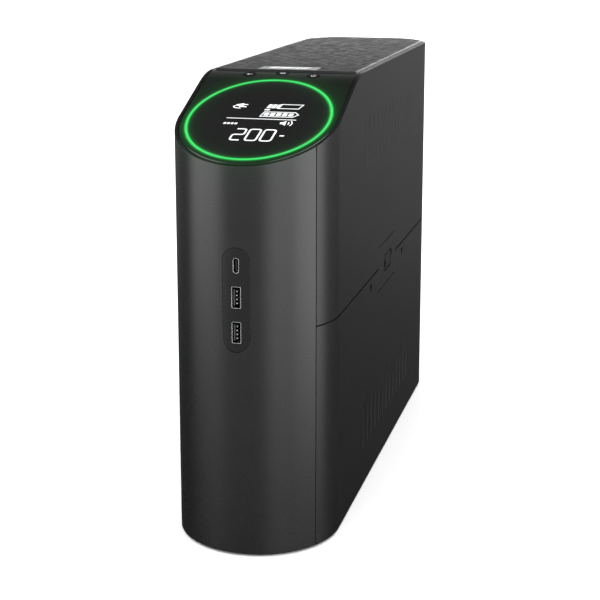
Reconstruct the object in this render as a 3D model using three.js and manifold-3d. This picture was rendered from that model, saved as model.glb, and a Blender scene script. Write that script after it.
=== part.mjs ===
// Slim tower uninterruptible power supply, as an assembly of separate pieces.
//
// Millimetres, +Z up. The display end faces -Y, the sockets face +Y, and the battery
// door is on the +X side. The origin is on the ground under the middle of the case.

import * as THREE from 'three';
import { mergeVertices } from 'three/addons/utils/BufferGeometryUtils.js';
import Module from 'manifold-3d';

const wasm = await Module();
wasm.setup();

// ---- Driving dimensions ------------------------------------------------------------

const WIDTH = 109;
const DEPTH = 411;
const HEIGHT = 304;
const WALL = 2.4;
const GAP = 0.3;
const FOOT_HEIGHT = 1.5;

// Plan outline: a half round nose, straight sides and two elliptical rear corners.
const HALF = WIDTH / 2;
const FRONT_Y = -DEPTH / 2;
const BACK_Y = DEPTH / 2;
const NOSE_Y = FRONT_Y + HALF;
const REAR_FLAT = 20;
const REAR_CORNER = 38;
const CORNER_Y = BACK_Y - REAR_CORNER;
const CURVE_STEPS = 8;

// Roof line, seen from the side: a sloping display face that rolls over into a flat top.
const RIM_Z = HEIGHT - 1;
const SLOPE_START_Z = 257;
const SLOPE = Math.atan(0.412);
const ROLL_RADIUS = 70;
const RIDGE_Y = FRONT_Y + (RIM_Z - SLOPE_START_Z) / Math.tan(SLOPE);
const ROLL_TANGENT = ROLL_RADIUS * Math.tan(SLOPE / 2);
const ROLL_END_Y = RIDGE_Y + ROLL_TANGENT;
const ROLL_CENTRE_Z = RIM_Z - ROLL_RADIUS;
const BEZEL_END_Y = -86.5;

// Seams between the casing pieces.
const SEAM_Z = 151;
const FRONT_SEAM_ANGLE = THREE.MathUtils.degToRad(57);
const DOOR_REAR_X = 49.8;

// Round display in the sloping face, concentric with the nose.
const RING_OUTER = 48.3;
const RING_INNER = 45.9;
const BEZEL_THICKNESS = 2.6;
const RING_DEPTH = 5;

// Push buttons on the roll-over.
const BUTTON_RADIUS = 4.4;
const BUTTON_LENGTH = 4.6;
const BUTTON_PROUD = 0.2;
const BUTTONS = [
  { name: 'mute_button', x: -22.4, y: -95 },
  { name: 'menu_button', x: 0, y: -91 },
  { name: 'power_button', x: 22.4, y: -95 },
];

// Top cover and the badge let into it.
const TOP_THICKNESS = 3.4;
const TOP_CHAMFER = 1;
const BADGE = { y: -72, width: 42, length: 20, sink: 0.8, height: 0.4 };

// Charging ports on the nose.
const PILL_WIDTH = 18;
const PILL_BOTTOM = 137.7;
const PILL_TOP = 205.4;
const PILL_DEPTH = 5;
const USB_A_SIZE = { width: 6.4, height: 14.3, openWidth: 5.1, openHeight: 12.5, depth: 14 };
const USB_A_UPPER_Z = 173.3;
const USB_A_LOWER_Z = 150.5;
const USB_C_SIZE = { width: 4.2, height: 10.2, openWidth: 2.7, openHeight: 8.5, depth: 9 };
const USB_C_Z = 193.9;

// Cooling slots: the same two rows on both sides.
const SLOT_COUNT = 13;
const SLOT_PITCH = 14.5;
const SLOT_WIDTH = 1.6;
const SLOT_HEIGHT = 37;
const SLOT_FIRST_Y = -73;
const SLOT_ROWS_Z = [48.5, 251.5];

// Latch tab in the seam above the battery door.
const LATCH_Y = 11.3;
const LATCH_Z = 150.3;
const LATCH_LENGTH = 63.5;
const LATCH_HEIGHT = 32.6;
const LATCH_RECESS = { length: 31.4, height: 12.5, depth: 0.8, y: 13.5 };

// Recessed rear panel.
const PANEL_HALF = 40;
const PANEL_BOTTOM = 12.3;
const PANEL_TOP = 292.7;
const PANEL_FACE_Y = 186;
const PANEL_THICKNESS = 2.2;
const PANEL_FLANGE = 1.8;

// Socket strips.
const SOCKET_COLUMN_X = 18;
const SOCKET_ROWS = 5;
const SOCKET_PITCH = 34;
const SOCKET_FIRST_Z = 84;
const SOCKET_FACE = { width: 26, height: 29, raised: 0.8 };
const SOCKET_STRIP = { width: 30, height: 170, depth: 20 };
const SOCKET_PLATE_BOTTOM = 62;
const SOCKET_PLATE_TOP = 241;

// Rear connectors: middle of each on the panel.
const INLET = { x: -15, z: 36, width: 28, height: 20 };
const INLET_PINS = [[-7, 2], [7, 2], [0, -2]];
const BREAKER = { x: 20, z: 36, radius: 7 };
const DATA_PORT = { x: -21, z: 275 };
const NETWORK_PORT = { x: 14, z: 275 };
const COAX_Z = 252.5;
const COAX_X = [-25, -8];
const PANEL_SCREWS = [[-34, 20], [34, 20], [-34, 286.5], [34, 286.5]];
const JACK = { width: 15.6, height: 13.6, openWidth: 11.8, openHeight: 8.4, depth: 12 };

// Battery pack: two sealed blocks, one on the other.
const BLOCK = { width: 92, length: 151, height: 64 };
const PACK_Y = 12;
const PACK_BOTTOM = 8;

// Laminated transformer core, with one coil round its middle limb.
const CORE = { stack: 42, length: 84, height: 72, limb: 28, window: 14, windowHeight: 44 };
const CORE_Y = -120;

// Decks and boards.
const PAN_BOTTOM = FOOT_HEIGHT + GAP;
const PAN_TOP = 5;
const DECK_BOTTOM = 144.5;
const DECK_TOP = 146.5;
const BOARD_X = -43;
const BOARD_THICKNESS = 1.6;

// Fan behind the upper right slots.
const FAN = { size: 60, depth: 15, x: 33, y: 72, z: 240, bore: 28, hub: 12, blades: 7 };

// ---- Materials ---------------------------------------------------------------------

function finish(color, roughness, metalness = 0) {
  return new THREE.MeshStandardMaterial({ color, roughness, metalness });
}

const FINISH = {
  casing: finish(0x343535, 0.5),
  sideCasing: finish(0x2f3030, 0.55),
  topGrain: finish(0x3c3d3e, 0.5),
  gloss: finish(0x050706, 0.08),
  glow: finish(0x2ee65c, 0.4),
  lcd: finish(0x0b0f0c, 0.3),
  button: finish(0x0a0b0b, 0.35),
  silver: finish(0xc9cccd, 0.25, 1),
  steel: finish(0x9da1a3, 0.35, 1),
  copper: finish(0xb06a3c, 0.4, 1),
  aluminium: finish(0xb4b8ba, 0.4, 1),
  rubber: finish(0x141414, 0.9),
  board: finish(0x1d5a34, 0.5),
  panel: finish(0x1d1e1e, 0.6),
  socket: finish(0x121212, 0.55),
  battery: finish(0x23272b, 0.6),
  strap: finish(0xd8d8d2, 0.8),
  red: finish(0xb3201c, 0.5),
  black: finish(0x101010, 0.5),
  coil: finish(0xc9a227, 0.6),
  capacitor: finish(0x1f4f8f, 0.5),
};

// ---- Solid helpers -----------------------------------------------------------------

/** A closed solid made from a closed three.js geometry. */
function toSolid(geometry) {
  const bare = geometry.clone();
  bare.deleteAttribute('normal');
  bare.deleteAttribute('uv');
  const merged = mergeVertices(bare, 1e-4);
  return new wasm.Manifold(new wasm.Mesh({
    numProp: 3,
    vertProperties: Float32Array.from(merged.attributes.position.array),
    triVerts: Uint32Array.from(merged.index.array),
  }));
}

/** The three.js geometry of a solid. */
function toGeometry(solid) {
  const mesh = solid.getMesh();
  const geometry = new THREE.BufferGeometry();
  geometry.setAttribute('position', new THREE.BufferAttribute(mesh.vertProperties, 3));
  geometry.setIndex(new THREE.BufferAttribute(mesh.triVerts, 1));
  geometry.computeVertexNormals();
  return geometry;
}

function cut(base, ...tools) {
  return toGeometry(tools.reduce((solid, tool) => solid.subtract(toSolid(tool)), toSolid(base)));
}

function join(base, ...others) {
  return toGeometry(others.reduce((solid, other) => solid.add(toSolid(other)), toSolid(base)));
}

function common(base, ...others) {
  return toGeometry(others.reduce((solid, other) => solid.intersect(toSolid(other)), toSolid(base)));
}

/** A box between two corners. */
function box(low, high) {
  const size = high.map((value, axis) => value - low[axis]);
  const middle = high.map((value, axis) => (value + low[axis]) / 2);
  return new THREE.BoxGeometry(...size).translate(...middle);
}

/** A box by its middle and its full size. */
function block(middle, size) {
  return new THREE.BoxGeometry(...size).translate(...middle);
}

/** A shape in plan, raised from one height to another. */
function prism(shape, bottom, top) {
  const options = { depth: top - bottom, bevelEnabled: false, curveSegments: CURVE_STEPS };
  return new THREE.ExtrudeGeometry(shape, options).translate(0, 0, bottom);
}

/** A shape drawn in (y, z), run along X from one place to another. */
function sideways(shape, from, to) {
  const options = { depth: to - from, bevelEnabled: false, curveSegments: CURVE_STEPS };
  const geometry = new THREE.ExtrudeGeometry(shape, options);
  return geometry.applyMatrix4(new THREE.Matrix4().makeBasis(
    new THREE.Vector3(0, 1, 0),
    new THREE.Vector3(0, 0, 1),
    new THREE.Vector3(1, 0, 0),
  )).translate(from, 0, 0);
}

/** A shape drawn in (x, z), run along +Y from one place to another. */
function lengthways(shape, from, to) {
  const options = { depth: to - from, bevelEnabled: false, curveSegments: CURVE_STEPS };
  return new THREE.ExtrudeGeometry(shape, options).rotateX(Math.PI / 2).translate(0, to, 0);
}

/** A round bar along Z, standing on the height given. */
function bar(radius, bottom, top, sides = 24) {
  const length = top - bottom;
  return new THREE.CylinderGeometry(radius, radius, length, sides)
    .rotateX(Math.PI / 2)
    .translate(0, 0, bottom + length / 2);
}

/** A round bar along Y. */
function barAlongY(radius, x, z, from, to, sides = 20) {
  const length = to - from;
  return new THREE.CylinderGeometry(radius, radius, length, sides)
    .translate(x, from + length / 2, z);
}

function polygon(points) {
  return new THREE.Shape(points.map(([x, y]) => new THREE.Vector2(x, y)));
}

/** A rectangle with round corners, about its middle. */
function roundedRectangle(width, height, radius, x = 0, y = 0) {
  const w = width / 2;
  const h = height / 2;
  const shape = new THREE.Shape();
  shape.moveTo(x + w, y - h + radius);
  shape.lineTo(x + w, y + h - radius);
  shape.absarc(x + w - radius, y + h - radius, radius, 0, Math.PI / 2);
  shape.lineTo(x - w + radius, y + h);
  shape.absarc(x - w + radius, y + h - radius, radius, Math.PI / 2, Math.PI);
  shape.lineTo(x - w, y - h + radius);
  shape.absarc(x - w + radius, y - h + radius, radius, Math.PI, 1.5 * Math.PI);
  shape.lineTo(x + w - radius, y - h);
  shape.absarc(x + w - radius, y - h + radius, radius, 1.5 * Math.PI, 2 * Math.PI);
  return shape;
}

// ---- The casing's outline ----------------------------------------------------------

/** The plan of the case behind a straight front edge, moved in by an inset. */
function rearPlan(inset, frontY) {
  const half = HALF - inset;
  const cornerX = half - REAR_FLAT;
  const cornerY = REAR_CORNER - inset;
  const shape = new THREE.Shape();
  shape.moveTo(half, frontY);
  shape.lineTo(half, CORNER_Y);
  shape.absellipse(REAR_FLAT, CORNER_Y, cornerX, cornerY, 0, Math.PI / 2);
  shape.lineTo(-REAR_FLAT, BACK_Y - inset);
  shape.absellipse(-REAR_FLAT, CORNER_Y, cornerX, cornerY, Math.PI / 2, Math.PI);
  shape.lineTo(-half, frontY);
  return shape;
}

/** The whole plan of the case, moved in by an inset. */
function planShape(inset) {
  const shape = rearPlan(inset, NOSE_Y);
  shape.absarc(0, NOSE_Y, HALF - inset, Math.PI, 1.5 * Math.PI);
  shape.absarc(0, NOSE_Y, HALF - inset, 1.5 * Math.PI, 2 * Math.PI);
  return shape;
}

/** Everything above the roof line, or above a line a little under it. */
function aboveRoof(under) {
  const far = 2 * DEPTH;
  const radius = ROLL_RADIUS - under;
  const shape = new THREE.Shape();
  const normalAngle = Math.PI / 2 + SLOPE;
  const tangentY = ROLL_END_Y + radius * Math.cos(normalAngle);
  const tangentZ = ROLL_CENTRE_Z + radius * Math.sin(normalAngle);
  shape.moveTo(tangentY - far * Math.cos(SLOPE), tangentZ - far * Math.sin(SLOPE));
  shape.lineTo(tangentY, tangentZ);
  shape.absarc(ROLL_END_Y, ROLL_CENTRE_Z, radius, normalAngle, Math.PI / 2, true);
  shape.lineTo(far, RIM_Z - under);
  shape.lineTo(far, far);
  shape.lineTo(-far, far);
  return sideways(shape, -WIDTH, WIDTH);
}

/** The height of the roof line at a place along the case. */
function roofHeight(y) {
  return ROLL_CENTRE_Z + Math.sqrt(ROLL_RADIUS ** 2 - (y - ROLL_END_Y) ** 2);
}

/** The wall all round the plan. */
function wallRing(bottom, top) {
  return cut(
    prism(planShape(0), bottom, top),
    prism(planShape(WALL), bottom - 1, top + 1),
  );
}

/** The wedge of plan that the nose cover takes, with its edges moved by a clearance. */
function noseWedge(clearance) {
  const reach = 3 * WIDTH;
  const angle = FRONT_SEAM_ANGLE + clearance / HALF;
  const x = reach * Math.sin(angle);
  const y = NOSE_Y - reach * Math.cos(angle);
  return prism(polygon([[0, NOSE_Y], [-x, y], [0, y - reach], [x, y]]), -10, 2 * HEIGHT);
}

/** The part of the plan behind the battery door, with its edges moved by a clearance. */
function doorRegion(clearance) {
  const reach = 3 * WIDTH;
  const angle = FRONT_SEAM_ANGLE - clearance / HALF;
  const rearX = DOOR_REAR_X - clearance;
  return prism(polygon([
    [0, NOSE_Y],
    [reach * Math.sin(angle), NOSE_Y - reach * Math.cos(angle)],
    [reach, reach],
    [rearX, reach],
    [rearX, NOSE_Y + HALF],
    [0, NOSE_Y + HALF],
  ]), FOOT_HEIGHT, SEAM_Z - GAP / 2 + clearance);
}

/** The cooling slots of one row, through both sides or one. */
function slotCutters(rowZ, side) {
  const cutters = [];
  for (let index = 0; index < SLOT_COUNT; index += 1) {
    const y = SLOT_FIRST_Y + index * SLOT_PITCH;
    cutters.push(block([side * HALF, y, rowZ], [4 * WALL, SLOT_WIDTH, SLOT_HEIGHT]));
  }
  return cutters;
}

function latchCutter(clearance) {
  const length = LATCH_LENGTH + 2 * clearance;
  const height = LATCH_HEIGHT + 2 * clearance;
  return block([HALF, LATCH_Y, LATCH_Z], [20, length, height]);
}

function rearOpening() {
  const half = PANEL_HALF + GAP;
  return box([-half, CORNER_Y, PANEL_BOTTOM - GAP], [half, 2 * BACK_Y, PANEL_TOP + GAP]);
}

// ---- Casing ------------------------------------------------------------------------

function basePan() {
  return prism(planShape(WALL + GAP), PAN_BOTTOM, PAN_TOP);
}

/** A turned piece about Z from a list of (radius, height). */
function turned(profile, sides = 12) {
  const points = profile.map(([radius, height]) => new THREE.Vector2(radius, height));
  return new THREE.LatheGeometry(points, sides).rotateX(Math.PI / 2);
}

function foot() {
  return bar(8, 0, FOOT_HEIGHT, 20);
}

function noseCover() {
  return cut(
    common(wallRing(FOOT_HEIGHT, HEIGHT), noseWedge(-GAP / 2)),
    aboveRoof(0),
    lengthways(pillShape(GAP), 2 * FRONT_Y, NOSE_Y),
  );
}

function upperHousing() {
  return cut(
    wallRing(SEAM_Z + GAP / 2, RIM_Z),
    noseWedge(GAP / 2),
    aboveRoof(0),
    rearOpening(),
    latchCutter(GAP),
    ...slotCutters(SLOT_ROWS_Z[1], 1),
    ...slotCutters(SLOT_ROWS_Z[1], -1),
  );
}

function lowerHousing() {
  return cut(
    wallRing(FOOT_HEIGHT, SEAM_Z - GAP / 2),
    noseWedge(GAP / 2),
    doorRegion(GAP),
    rearOpening(),
    ...slotCutters(SLOT_ROWS_Z[0], -1),
  );
}

function batteryDoor() {
  return cut(
    common(wallRing(FOOT_HEIGHT, SEAM_Z - GAP / 2), doorRegion(0)),
    noseWedge(GAP / 2),
    latchCutter(GAP),
    ...slotCutters(SLOT_ROWS_Z[0], 1),
  );
}

function doorLatch() {
  const { length, height, depth, y } = LATCH_RECESS;
  return cut(
    box(
      [HALF - WALL, LATCH_Y - LATCH_LENGTH / 2, LATCH_Z - LATCH_HEIGHT / 2],
      [HALF, LATCH_Y + LATCH_LENGTH / 2, LATCH_Z + LATCH_HEIGHT / 2],
    ),
    block([HALF, y, LATCH_Z], [2 * depth, length, height]),
  );
}

/** The flat lid behind the bezel, its upper and lower edges chamfered. */
function topCover() {
  const shape = rearPlan(WALL + GAP, BEZEL_END_Y + GAP);
  const lid = new THREE.ExtrudeGeometry(shape, {
    depth: TOP_THICKNESS - 2 * TOP_CHAMFER,
    bevelEnabled: true,
    bevelThickness: TOP_CHAMFER,
    bevelSize: TOP_CHAMFER,
    bevelOffset: -TOP_CHAMFER,
    bevelSegments: 1,
    curveSegments: CURVE_STEPS,
  }).translate(0, 0, HEIGHT - TOP_THICKNESS + TOP_CHAMFER);
  const { y, width, length, sink } = BADGE;
  return cut(lid, block([0, y, HEIGHT], [width + 2 * GAP, length + 2 * GAP, 2 * sink]));
}

function topBadge() {
  return box(
    [-BADGE.width / 2, BADGE.y - BADGE.length / 2, HEIGHT - BADGE.sink + GAP],
    [BADGE.width / 2, BADGE.y + BADGE.length / 2, HEIGHT - BADGE.sink + GAP + BADGE.height],
  );
}

// ---- Display end -------------------------------------------------------------------

/** A layer of the roof between two depths under the roof line. */
function roofLayer(solid, from, to) {
  return cut(common(solid, aboveRoof(to)), aboveRoof(from));
}

function displayBezel() {
  const plate = common(
    prism(planShape(WALL + GAP), SLOPE_START_Z - 20, HEIGHT),
    box([-WIDTH, 2 * FRONT_Y, 0], [WIDTH, BEZEL_END_Y, 2 * HEIGHT]),
  );
  const window = bar(RING_OUTER + GAP, 200, 2 * HEIGHT, 64).translate(0, NOSE_Y, 0);
  const holes = BUTTONS.map((button) => buttonBody(button, BUTTON_RADIUS + GAP, 30, 15));
  return cut(roofLayer(plate, 0, BEZEL_THICKNESS), window, ...holes);
}

function lightRing() {
  const ring = cut(
    bar(RING_OUTER, 200, 2 * HEIGHT, 64),
    bar(RING_INNER, 190, 3 * HEIGHT, 64),
  ).translate(0, NOSE_Y, 0);
  return roofLayer(ring, 0, RING_DEPTH);
}

function displayWindow() {
  const disc = bar(RING_INNER - GAP, 200, 2 * HEIGHT, 64).translate(0, NOSE_Y, 0);
  return roofLayer(disc, 0, BEZEL_THICKNESS);
}

/** Pieces under the sloping face lie in this group: its X is across, its Y is up the slope. */
function slopeGroup() {
  const group = new THREE.Group();
  const middleZ = SLOPE_START_Z + (NOSE_Y - FRONT_Y) * Math.tan(SLOPE);
  group.position.set(0, NOSE_Y, middleZ);
  group.rotation.x = SLOPE;
  return group;
}

/** A short round body across the roof's skin, by how far it goes in and stands out. */
function buttonBody({ x, y }, radius, inside, outside) {
  const tilt = Math.asin((ROLL_END_Y - y) / ROLL_RADIUS);
  return bar(radius, -inside, outside, 20).rotateX(tilt).translate(x, y, roofHeight(y));
}

// ---- Charging ports ----------------------------------------------------------------

function pillShape(clearance) {
  const width = PILL_WIDTH + 2 * clearance;
  const height = PILL_TOP - PILL_BOTTOM + 2 * clearance;
  const nearlyHalf = width / 2 - 0.01;
  return roundedRectangle(width, height, nearlyHalf, 0, (PILL_TOP + PILL_BOTTOM) / 2);
}

function portInsert() {
  const skin = cut(
    bar(HALF - 0.4, 0, HEIGHT, 64),
    bar(HALF - 0.4 - PILL_DEPTH, -1, HEIGHT + 1, 64),
  ).translate(0, NOSE_Y, 0);
  return cut(
    common(skin, lengthways(pillShape(0), 2 * FRONT_Y, NOSE_Y)),
    portHole(USB_A_SIZE, USB_A_UPPER_Z),
    portHole(USB_A_SIZE, USB_A_LOWER_Z),
    portHole(USB_C_SIZE, USB_C_Z),
  );
}

function portHole({ width, height }, z) {
  return block([0, FRONT_Y, z], [width + 2 * GAP, 40, height + 2 * GAP]);
}

/** A receptacle's metal shell with its contact tongue, open to the front. */
function receptacle({ width, height, openWidth, openHeight, depth }, z, tongueX, tongue) {
  const mouthY = FRONT_Y + 0.7;
  const shell = cut(
    box([-width / 2, mouthY, z - height / 2], [width / 2, mouthY + depth, z + height / 2]),
    box(
      [-openWidth / 2, mouthY - 1, z - openHeight / 2],
      [openWidth / 2, mouthY + depth - 1.5, z + openHeight / 2],
    ),
  );
  const blade = box(
    [tongueX - tongue / 2, mouthY + 1.5, z - openHeight / 2 + 0.9],
    [tongueX + tongue / 2, mouthY + depth - 1, z + openHeight / 2 - 0.9],
  );
  return join(shell, blade);
}

function usbBoard() {
  const y = FRONT_Y + 0.7 + USB_A_SIZE.depth + GAP;
  return box([-12, y, PILL_BOTTOM - 4], [12, y + BOARD_THICKNESS, PILL_TOP + 4]);
}

// ---- Rear panel and its connectors -------------------------------------------------

function socketCentres() {
  return Array.from({ length: SOCKET_ROWS }, (_, row) => SOCKET_FIRST_Z + row * SOCKET_PITCH);
}

/** The lining of the recess: four walls from the plates out to the casing's skin. */
function panelFrame() {
  return cut(
    common(
      prism(planShape(0.4), PANEL_BOTTOM, PANEL_TOP),
      box([-PANEL_HALF, PANEL_FACE_Y - PANEL_THICKNESS, 0], [PANEL_HALF, BACK_Y, HEIGHT]),
    ),
    box(
      [-PANEL_HALF + PANEL_FLANGE, 0, PANEL_BOTTOM + PANEL_FLANGE],
      [PANEL_HALF - PANEL_FLANGE, 2 * BACK_Y, PANEL_TOP - PANEL_FLANGE],
    ),
  );
}

/** A flat plate across the recess, between two heights. */
function plate(bottom, top) {
  const half = PANEL_HALF - PANEL_FLANGE - GAP;
  return box([-half, PANEL_FACE_Y - PANEL_THICKNESS, bottom], [half, PANEL_FACE_Y, top]);
}

function plateWindow(x, z, width, height) {
  return block([x, PANEL_FACE_Y, z], [width + 2 * GAP, 30, height + 2 * GAP]);
}

function screwHoles() {
  return PANEL_SCREWS.map(([x, z]) => barAlongY(1.8, x, z, 170, 200, 12));
}

function inletPlate() {
  return cut(
    plate(PANEL_BOTTOM + PANEL_FLANGE + GAP, SOCKET_PLATE_BOTTOM - GAP),
    plateWindow(INLET.x, INLET.z, INLET.width, INLET.height),
    barAlongY(BREAKER.radius + GAP, BREAKER.x, BREAKER.z, 170, 200),
    ...screwHoles(),
  );
}

function socketPlate() {
  const middle = SOCKET_FIRST_Z + ((SOCKET_ROWS - 1) * SOCKET_PITCH) / 2;
  const { width, height } = SOCKET_STRIP;
  return cut(
    plate(SOCKET_PLATE_BOTTOM, SOCKET_PLATE_TOP),
    plateWindow(-SOCKET_COLUMN_X, middle, width, height),
    plateWindow(SOCKET_COLUMN_X, middle, width, height),
  );
}

function connectorPlate() {
  return cut(
    plate(SOCKET_PLATE_TOP + GAP, PANEL_TOP - PANEL_FLANGE - GAP),
    plateWindow(DATA_PORT.x, DATA_PORT.z, JACK.width, JACK.height),
    plateWindow(NETWORK_PORT.x, NETWORK_PORT.z, 2 * JACK.width, JACK.height),
    ...COAX_X.map((x) => barAlongY(5 + GAP, x, COAX_Z, 170, 200)),
    ...screwHoles(),
  );
}

/** A pan head screw along Y, its head standing on the panel's face. */
function panelScrew() {
  const profile = [[0, -2.4], [2.2, -2.2], [3, -1.4], [3, -GAP], [1.4, -GAP], [1.4, 8], [0, 8]];
  return turned(profile).rotateX(Math.PI / 2);
}

/** Five three-pin sockets in one moulded strip. */
function outletStrip(side) {
  const x = side * SOCKET_COLUMN_X;
  const centres = socketCentres();
  const { width, height, depth } = SOCKET_STRIP;
  const middle = (centres[0] + centres[SOCKET_ROWS - 1]) / 2;
  const body = block([x, PANEL_FACE_Y - depth / 2, middle], [width, depth, height]);
  const faces = centres.map((z) => block(
    [x, PANEL_FACE_Y, z],
    [SOCKET_FACE.width, 2 * SOCKET_FACE.raised, SOCKET_FACE.height],
  ));
  const slots = centres.flatMap((z) => [
    block([x - 6.35, PANEL_FACE_Y, z + 4], [2.3, 26, 8.8]),
    block([x + 6.35, PANEL_FACE_Y, z + 4], [2.3, 26, 7.4]),
    barAlongY(2.5, x, z - 7.9, PANEL_FACE_Y - 13, PANEL_FACE_Y + 13, 12),
  ]);
  return cut(join(body, ...faces), ...slots);
}

function powerInlet() {
  const { x, z, width, height } = INLET;
  const flange = block([x, PANEL_FACE_Y + GAP + 1, z], [width + 7, 2, height + 5]);
  const barrel = block([x, PANEL_FACE_Y - 8, z], [width, 18, height]);
  const cavity = box([x - 12, 171, z - 8], [x + 12, 200, z + 8]);
  const pinHoles = INLET_PINS.map(([dx, dz]) => block(
    [x + dx, 170, z + dz],
    [2 + 2 * GAP, 40, 4 + 2 * GAP],
  ));
  return cut(join(flange, barrel), cavity, ...pinHoles);
}

/** Three flat pins standing on one carrier behind the inlet. */
function inletContacts() {
  const { x, z } = INLET;
  const pins = INLET_PINS.map(([dx, dz]) => box(
    [x + dx - 1, 160, z + dz - 2],
    [x + dx + 1, 184, z + dz + 2],
  ));
  return join(box([x - 11, 157, z - 6], [x + 11, 161, z + 6]), ...pins);
}

function breakerBody() {
  const { x, z, radius } = BREAKER;
  return cut(
    join(
      barAlongY(radius + 2, x, z, PANEL_FACE_Y + GAP, PANEL_FACE_Y + 2),
      barAlongY(radius, x, z, 160, PANEL_FACE_Y + 1),
    ),
    barAlongY(4 + GAP, x, z, 172, 200),
  );
}

function breakerButton() {
  return barAlongY(4, BREAKER.x, BREAKER.z, 173, PANEL_FACE_Y + 4.5);
}

/** A moulded jack block with one or two openings. */
function jackBlock({ x, z }, count) {
  const width = count * JACK.width;
  const mouthY = PANEL_FACE_Y + 0.6;
  const body = box(
    [x - width / 2, mouthY - 16, z - JACK.height / 2],
    [x + width / 2, mouthY, z + JACK.height / 2],
  );
  const openings = Array.from({ length: count }, (_, index) => {
    const middle = x + (index - (count - 1) / 2) * JACK.width;
    return box(
      [middle - JACK.openWidth / 2, mouthY - JACK.depth, z - JACK.openHeight / 2],
      [middle + JACK.openWidth / 2, mouthY + 1, z + JACK.openHeight / 2],
    );
  });
  return cut(body, ...openings);
}

/** A screw-on aerial socket: hexagon seat and threaded barrel with a centre hole. */
function coaxSocket(x) {
  const seat = barAlongY(6.8, x, COAX_Z, PANEL_FACE_Y + GAP, PANEL_FACE_Y + 2.4, 6);
  const barrel = barAlongY(4.7, x, COAX_Z, 172, PANEL_FACE_Y + 11);
  const hole = barAlongY(1.2, x, COAX_Z, PANEL_FACE_Y + 3, PANEL_FACE_Y + 12, 8);
  return cut(join(seat, barrel), hole);
}

// ---- Battery -----------------------------------------------------------------------

/** One sealed block: a tub with a slightly smaller lid towards the door. */
function batteryBlock(index) {
  const { width, length, height } = BLOCK;
  const bottom = PACK_BOTTOM + index * (height + GAP);
  const tub = box([-width / 2, -length / 2, bottom], [width / 2 - 5, length / 2, bottom + height]);
  const lid = box(
    [width / 2 - 6, -length / 2 + 1, bottom + 1],
    [width / 2, length / 2 - 1, bottom + height - 1],
  );
  return join(tub, lid).translate(0, PACK_Y, 0);
}

/** The sleeve that straps both blocks into one pack. */
function batterySleeve() {
  const thick = 1;
  const half = BLOCK.width / 2 + GAP;
  const bottom = PACK_BOTTOM - GAP;
  const top = PACK_BOTTOM + 2 * BLOCK.height + 2 * GAP;
  const outer = box([-half - thick, -15, bottom - thick], [half + thick, 15, top + thick]);
  const inner = box([-half, -20, bottom], [half, 20, top]);
  return cut(outer, inner).translate(0, PACK_Y, 0);
}

/** Blind contact block on the left wall that the pack pushes on to. */
function contactBlock() {
  return box([-52, PACK_Y + 30, 60], [-BLOCK.width / 2 - GAP, PACK_Y + 64, 84]);
}

function leadPath(shift) {
  return new THREE.CatmullRomCurve3([
    new THREE.Vector3(-49.5, PACK_Y + 40 + shift, 84.3),
    new THREE.Vector3(-49.5, PACK_Y + 40 + shift, 110),
    new THREE.Vector3(-49.3, PACK_Y + 36 + shift, 140),
    new THREE.Vector3(-49, PACK_Y + 32 + shift, 165),
    new THREE.Vector3(-47.5, PACK_Y + 30 + shift, 178),
  ]);
}

/** A round insulated lead along its route. */
function lead(shift) {
  const section = new THREE.Shape().absarc(0, 0, 1.9, 0, 2 * Math.PI);
  const options = { steps: 14, bevelEnabled: false, curveSegments: 4, extrudePath: leadPath(shift) };
  return new THREE.ExtrudeGeometry(section, options);
}

// ---- Power stage -------------------------------------------------------------------

function transformerCore() {
  const { stack, length, height, limb, window, windowHeight } = CORE;
  const hole = (side) => block(
    [0, side * (limb + window) / 2, 0],
    [stack + 10, window, windowHeight],
  );
  return cut(block([0, 0, 0], [stack, length, height]), hole(1), hole(-1));
}

function transformerCoil() {
  const { stack, limb, window, windowHeight } = CORE;
  const outer = block(
    [0, 0, 0],
    [stack + 24, limb + 2 * window - 2 * GAP, windowHeight - 2 * GAP],
  );
  return cut(outer, block([0, 0, 0], [stack + 2 * GAP, limb + 2 * GAP, windowHeight + 10]));
}

function transformerBracket() {
  const { stack, length, height } = CORE;
  const low = -height / 2 - GAP;
  const y = length / 2 + GAP;
  const plate = box([-stack / 2, -y - 14, low - 2], [stack / 2, y + 10, low]);
  const front = box([-stack / 2, -y - 2, low - 1], [stack / 2, -y, 26]);
  const back = box([-stack / 2, y, low - 1], [stack / 2, y + 2, 26]);
  return join(plate, front, back);
}

function midDeck() {
  return cut(
    prism(planShape(WALL + GAP), DECK_BOTTOM, DECK_TOP),
    box([48, LATCH_Y - 36, 100], [80, LATCH_Y + 36, 200]),
    box([-60, PACK_Y + 26, 100], [-46, PACK_Y + 62, 200]),
    box([-60, PANEL_FACE_Y - 24, 100], [60, 250, 200]),
    box([-14, -250, 100], [14, -186, 200]),
  );
}

/** An extruded heat sink: a back plate with upright fins towards +X. */
function heatSink() {
  const fins = Array.from({ length: 7 }, (_, index) => box(
    [2, -30 + index * 9.6, 0],
    [24, -28 + index * 9.6, 60],
  ));
  return join(box([0, -30, 0], [3, 30, 60]), ...fins);
}

function capacitor() {
  return turned([[0, 0], [11, 0], [11, 38], [9.6, 40], [0, 40]], 20).rotateY(Math.PI / 2);
}

function choke() {
  return new THREE.TorusGeometry(11, 5.2, 10, 20).rotateY(Math.PI / 2);
}

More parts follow.
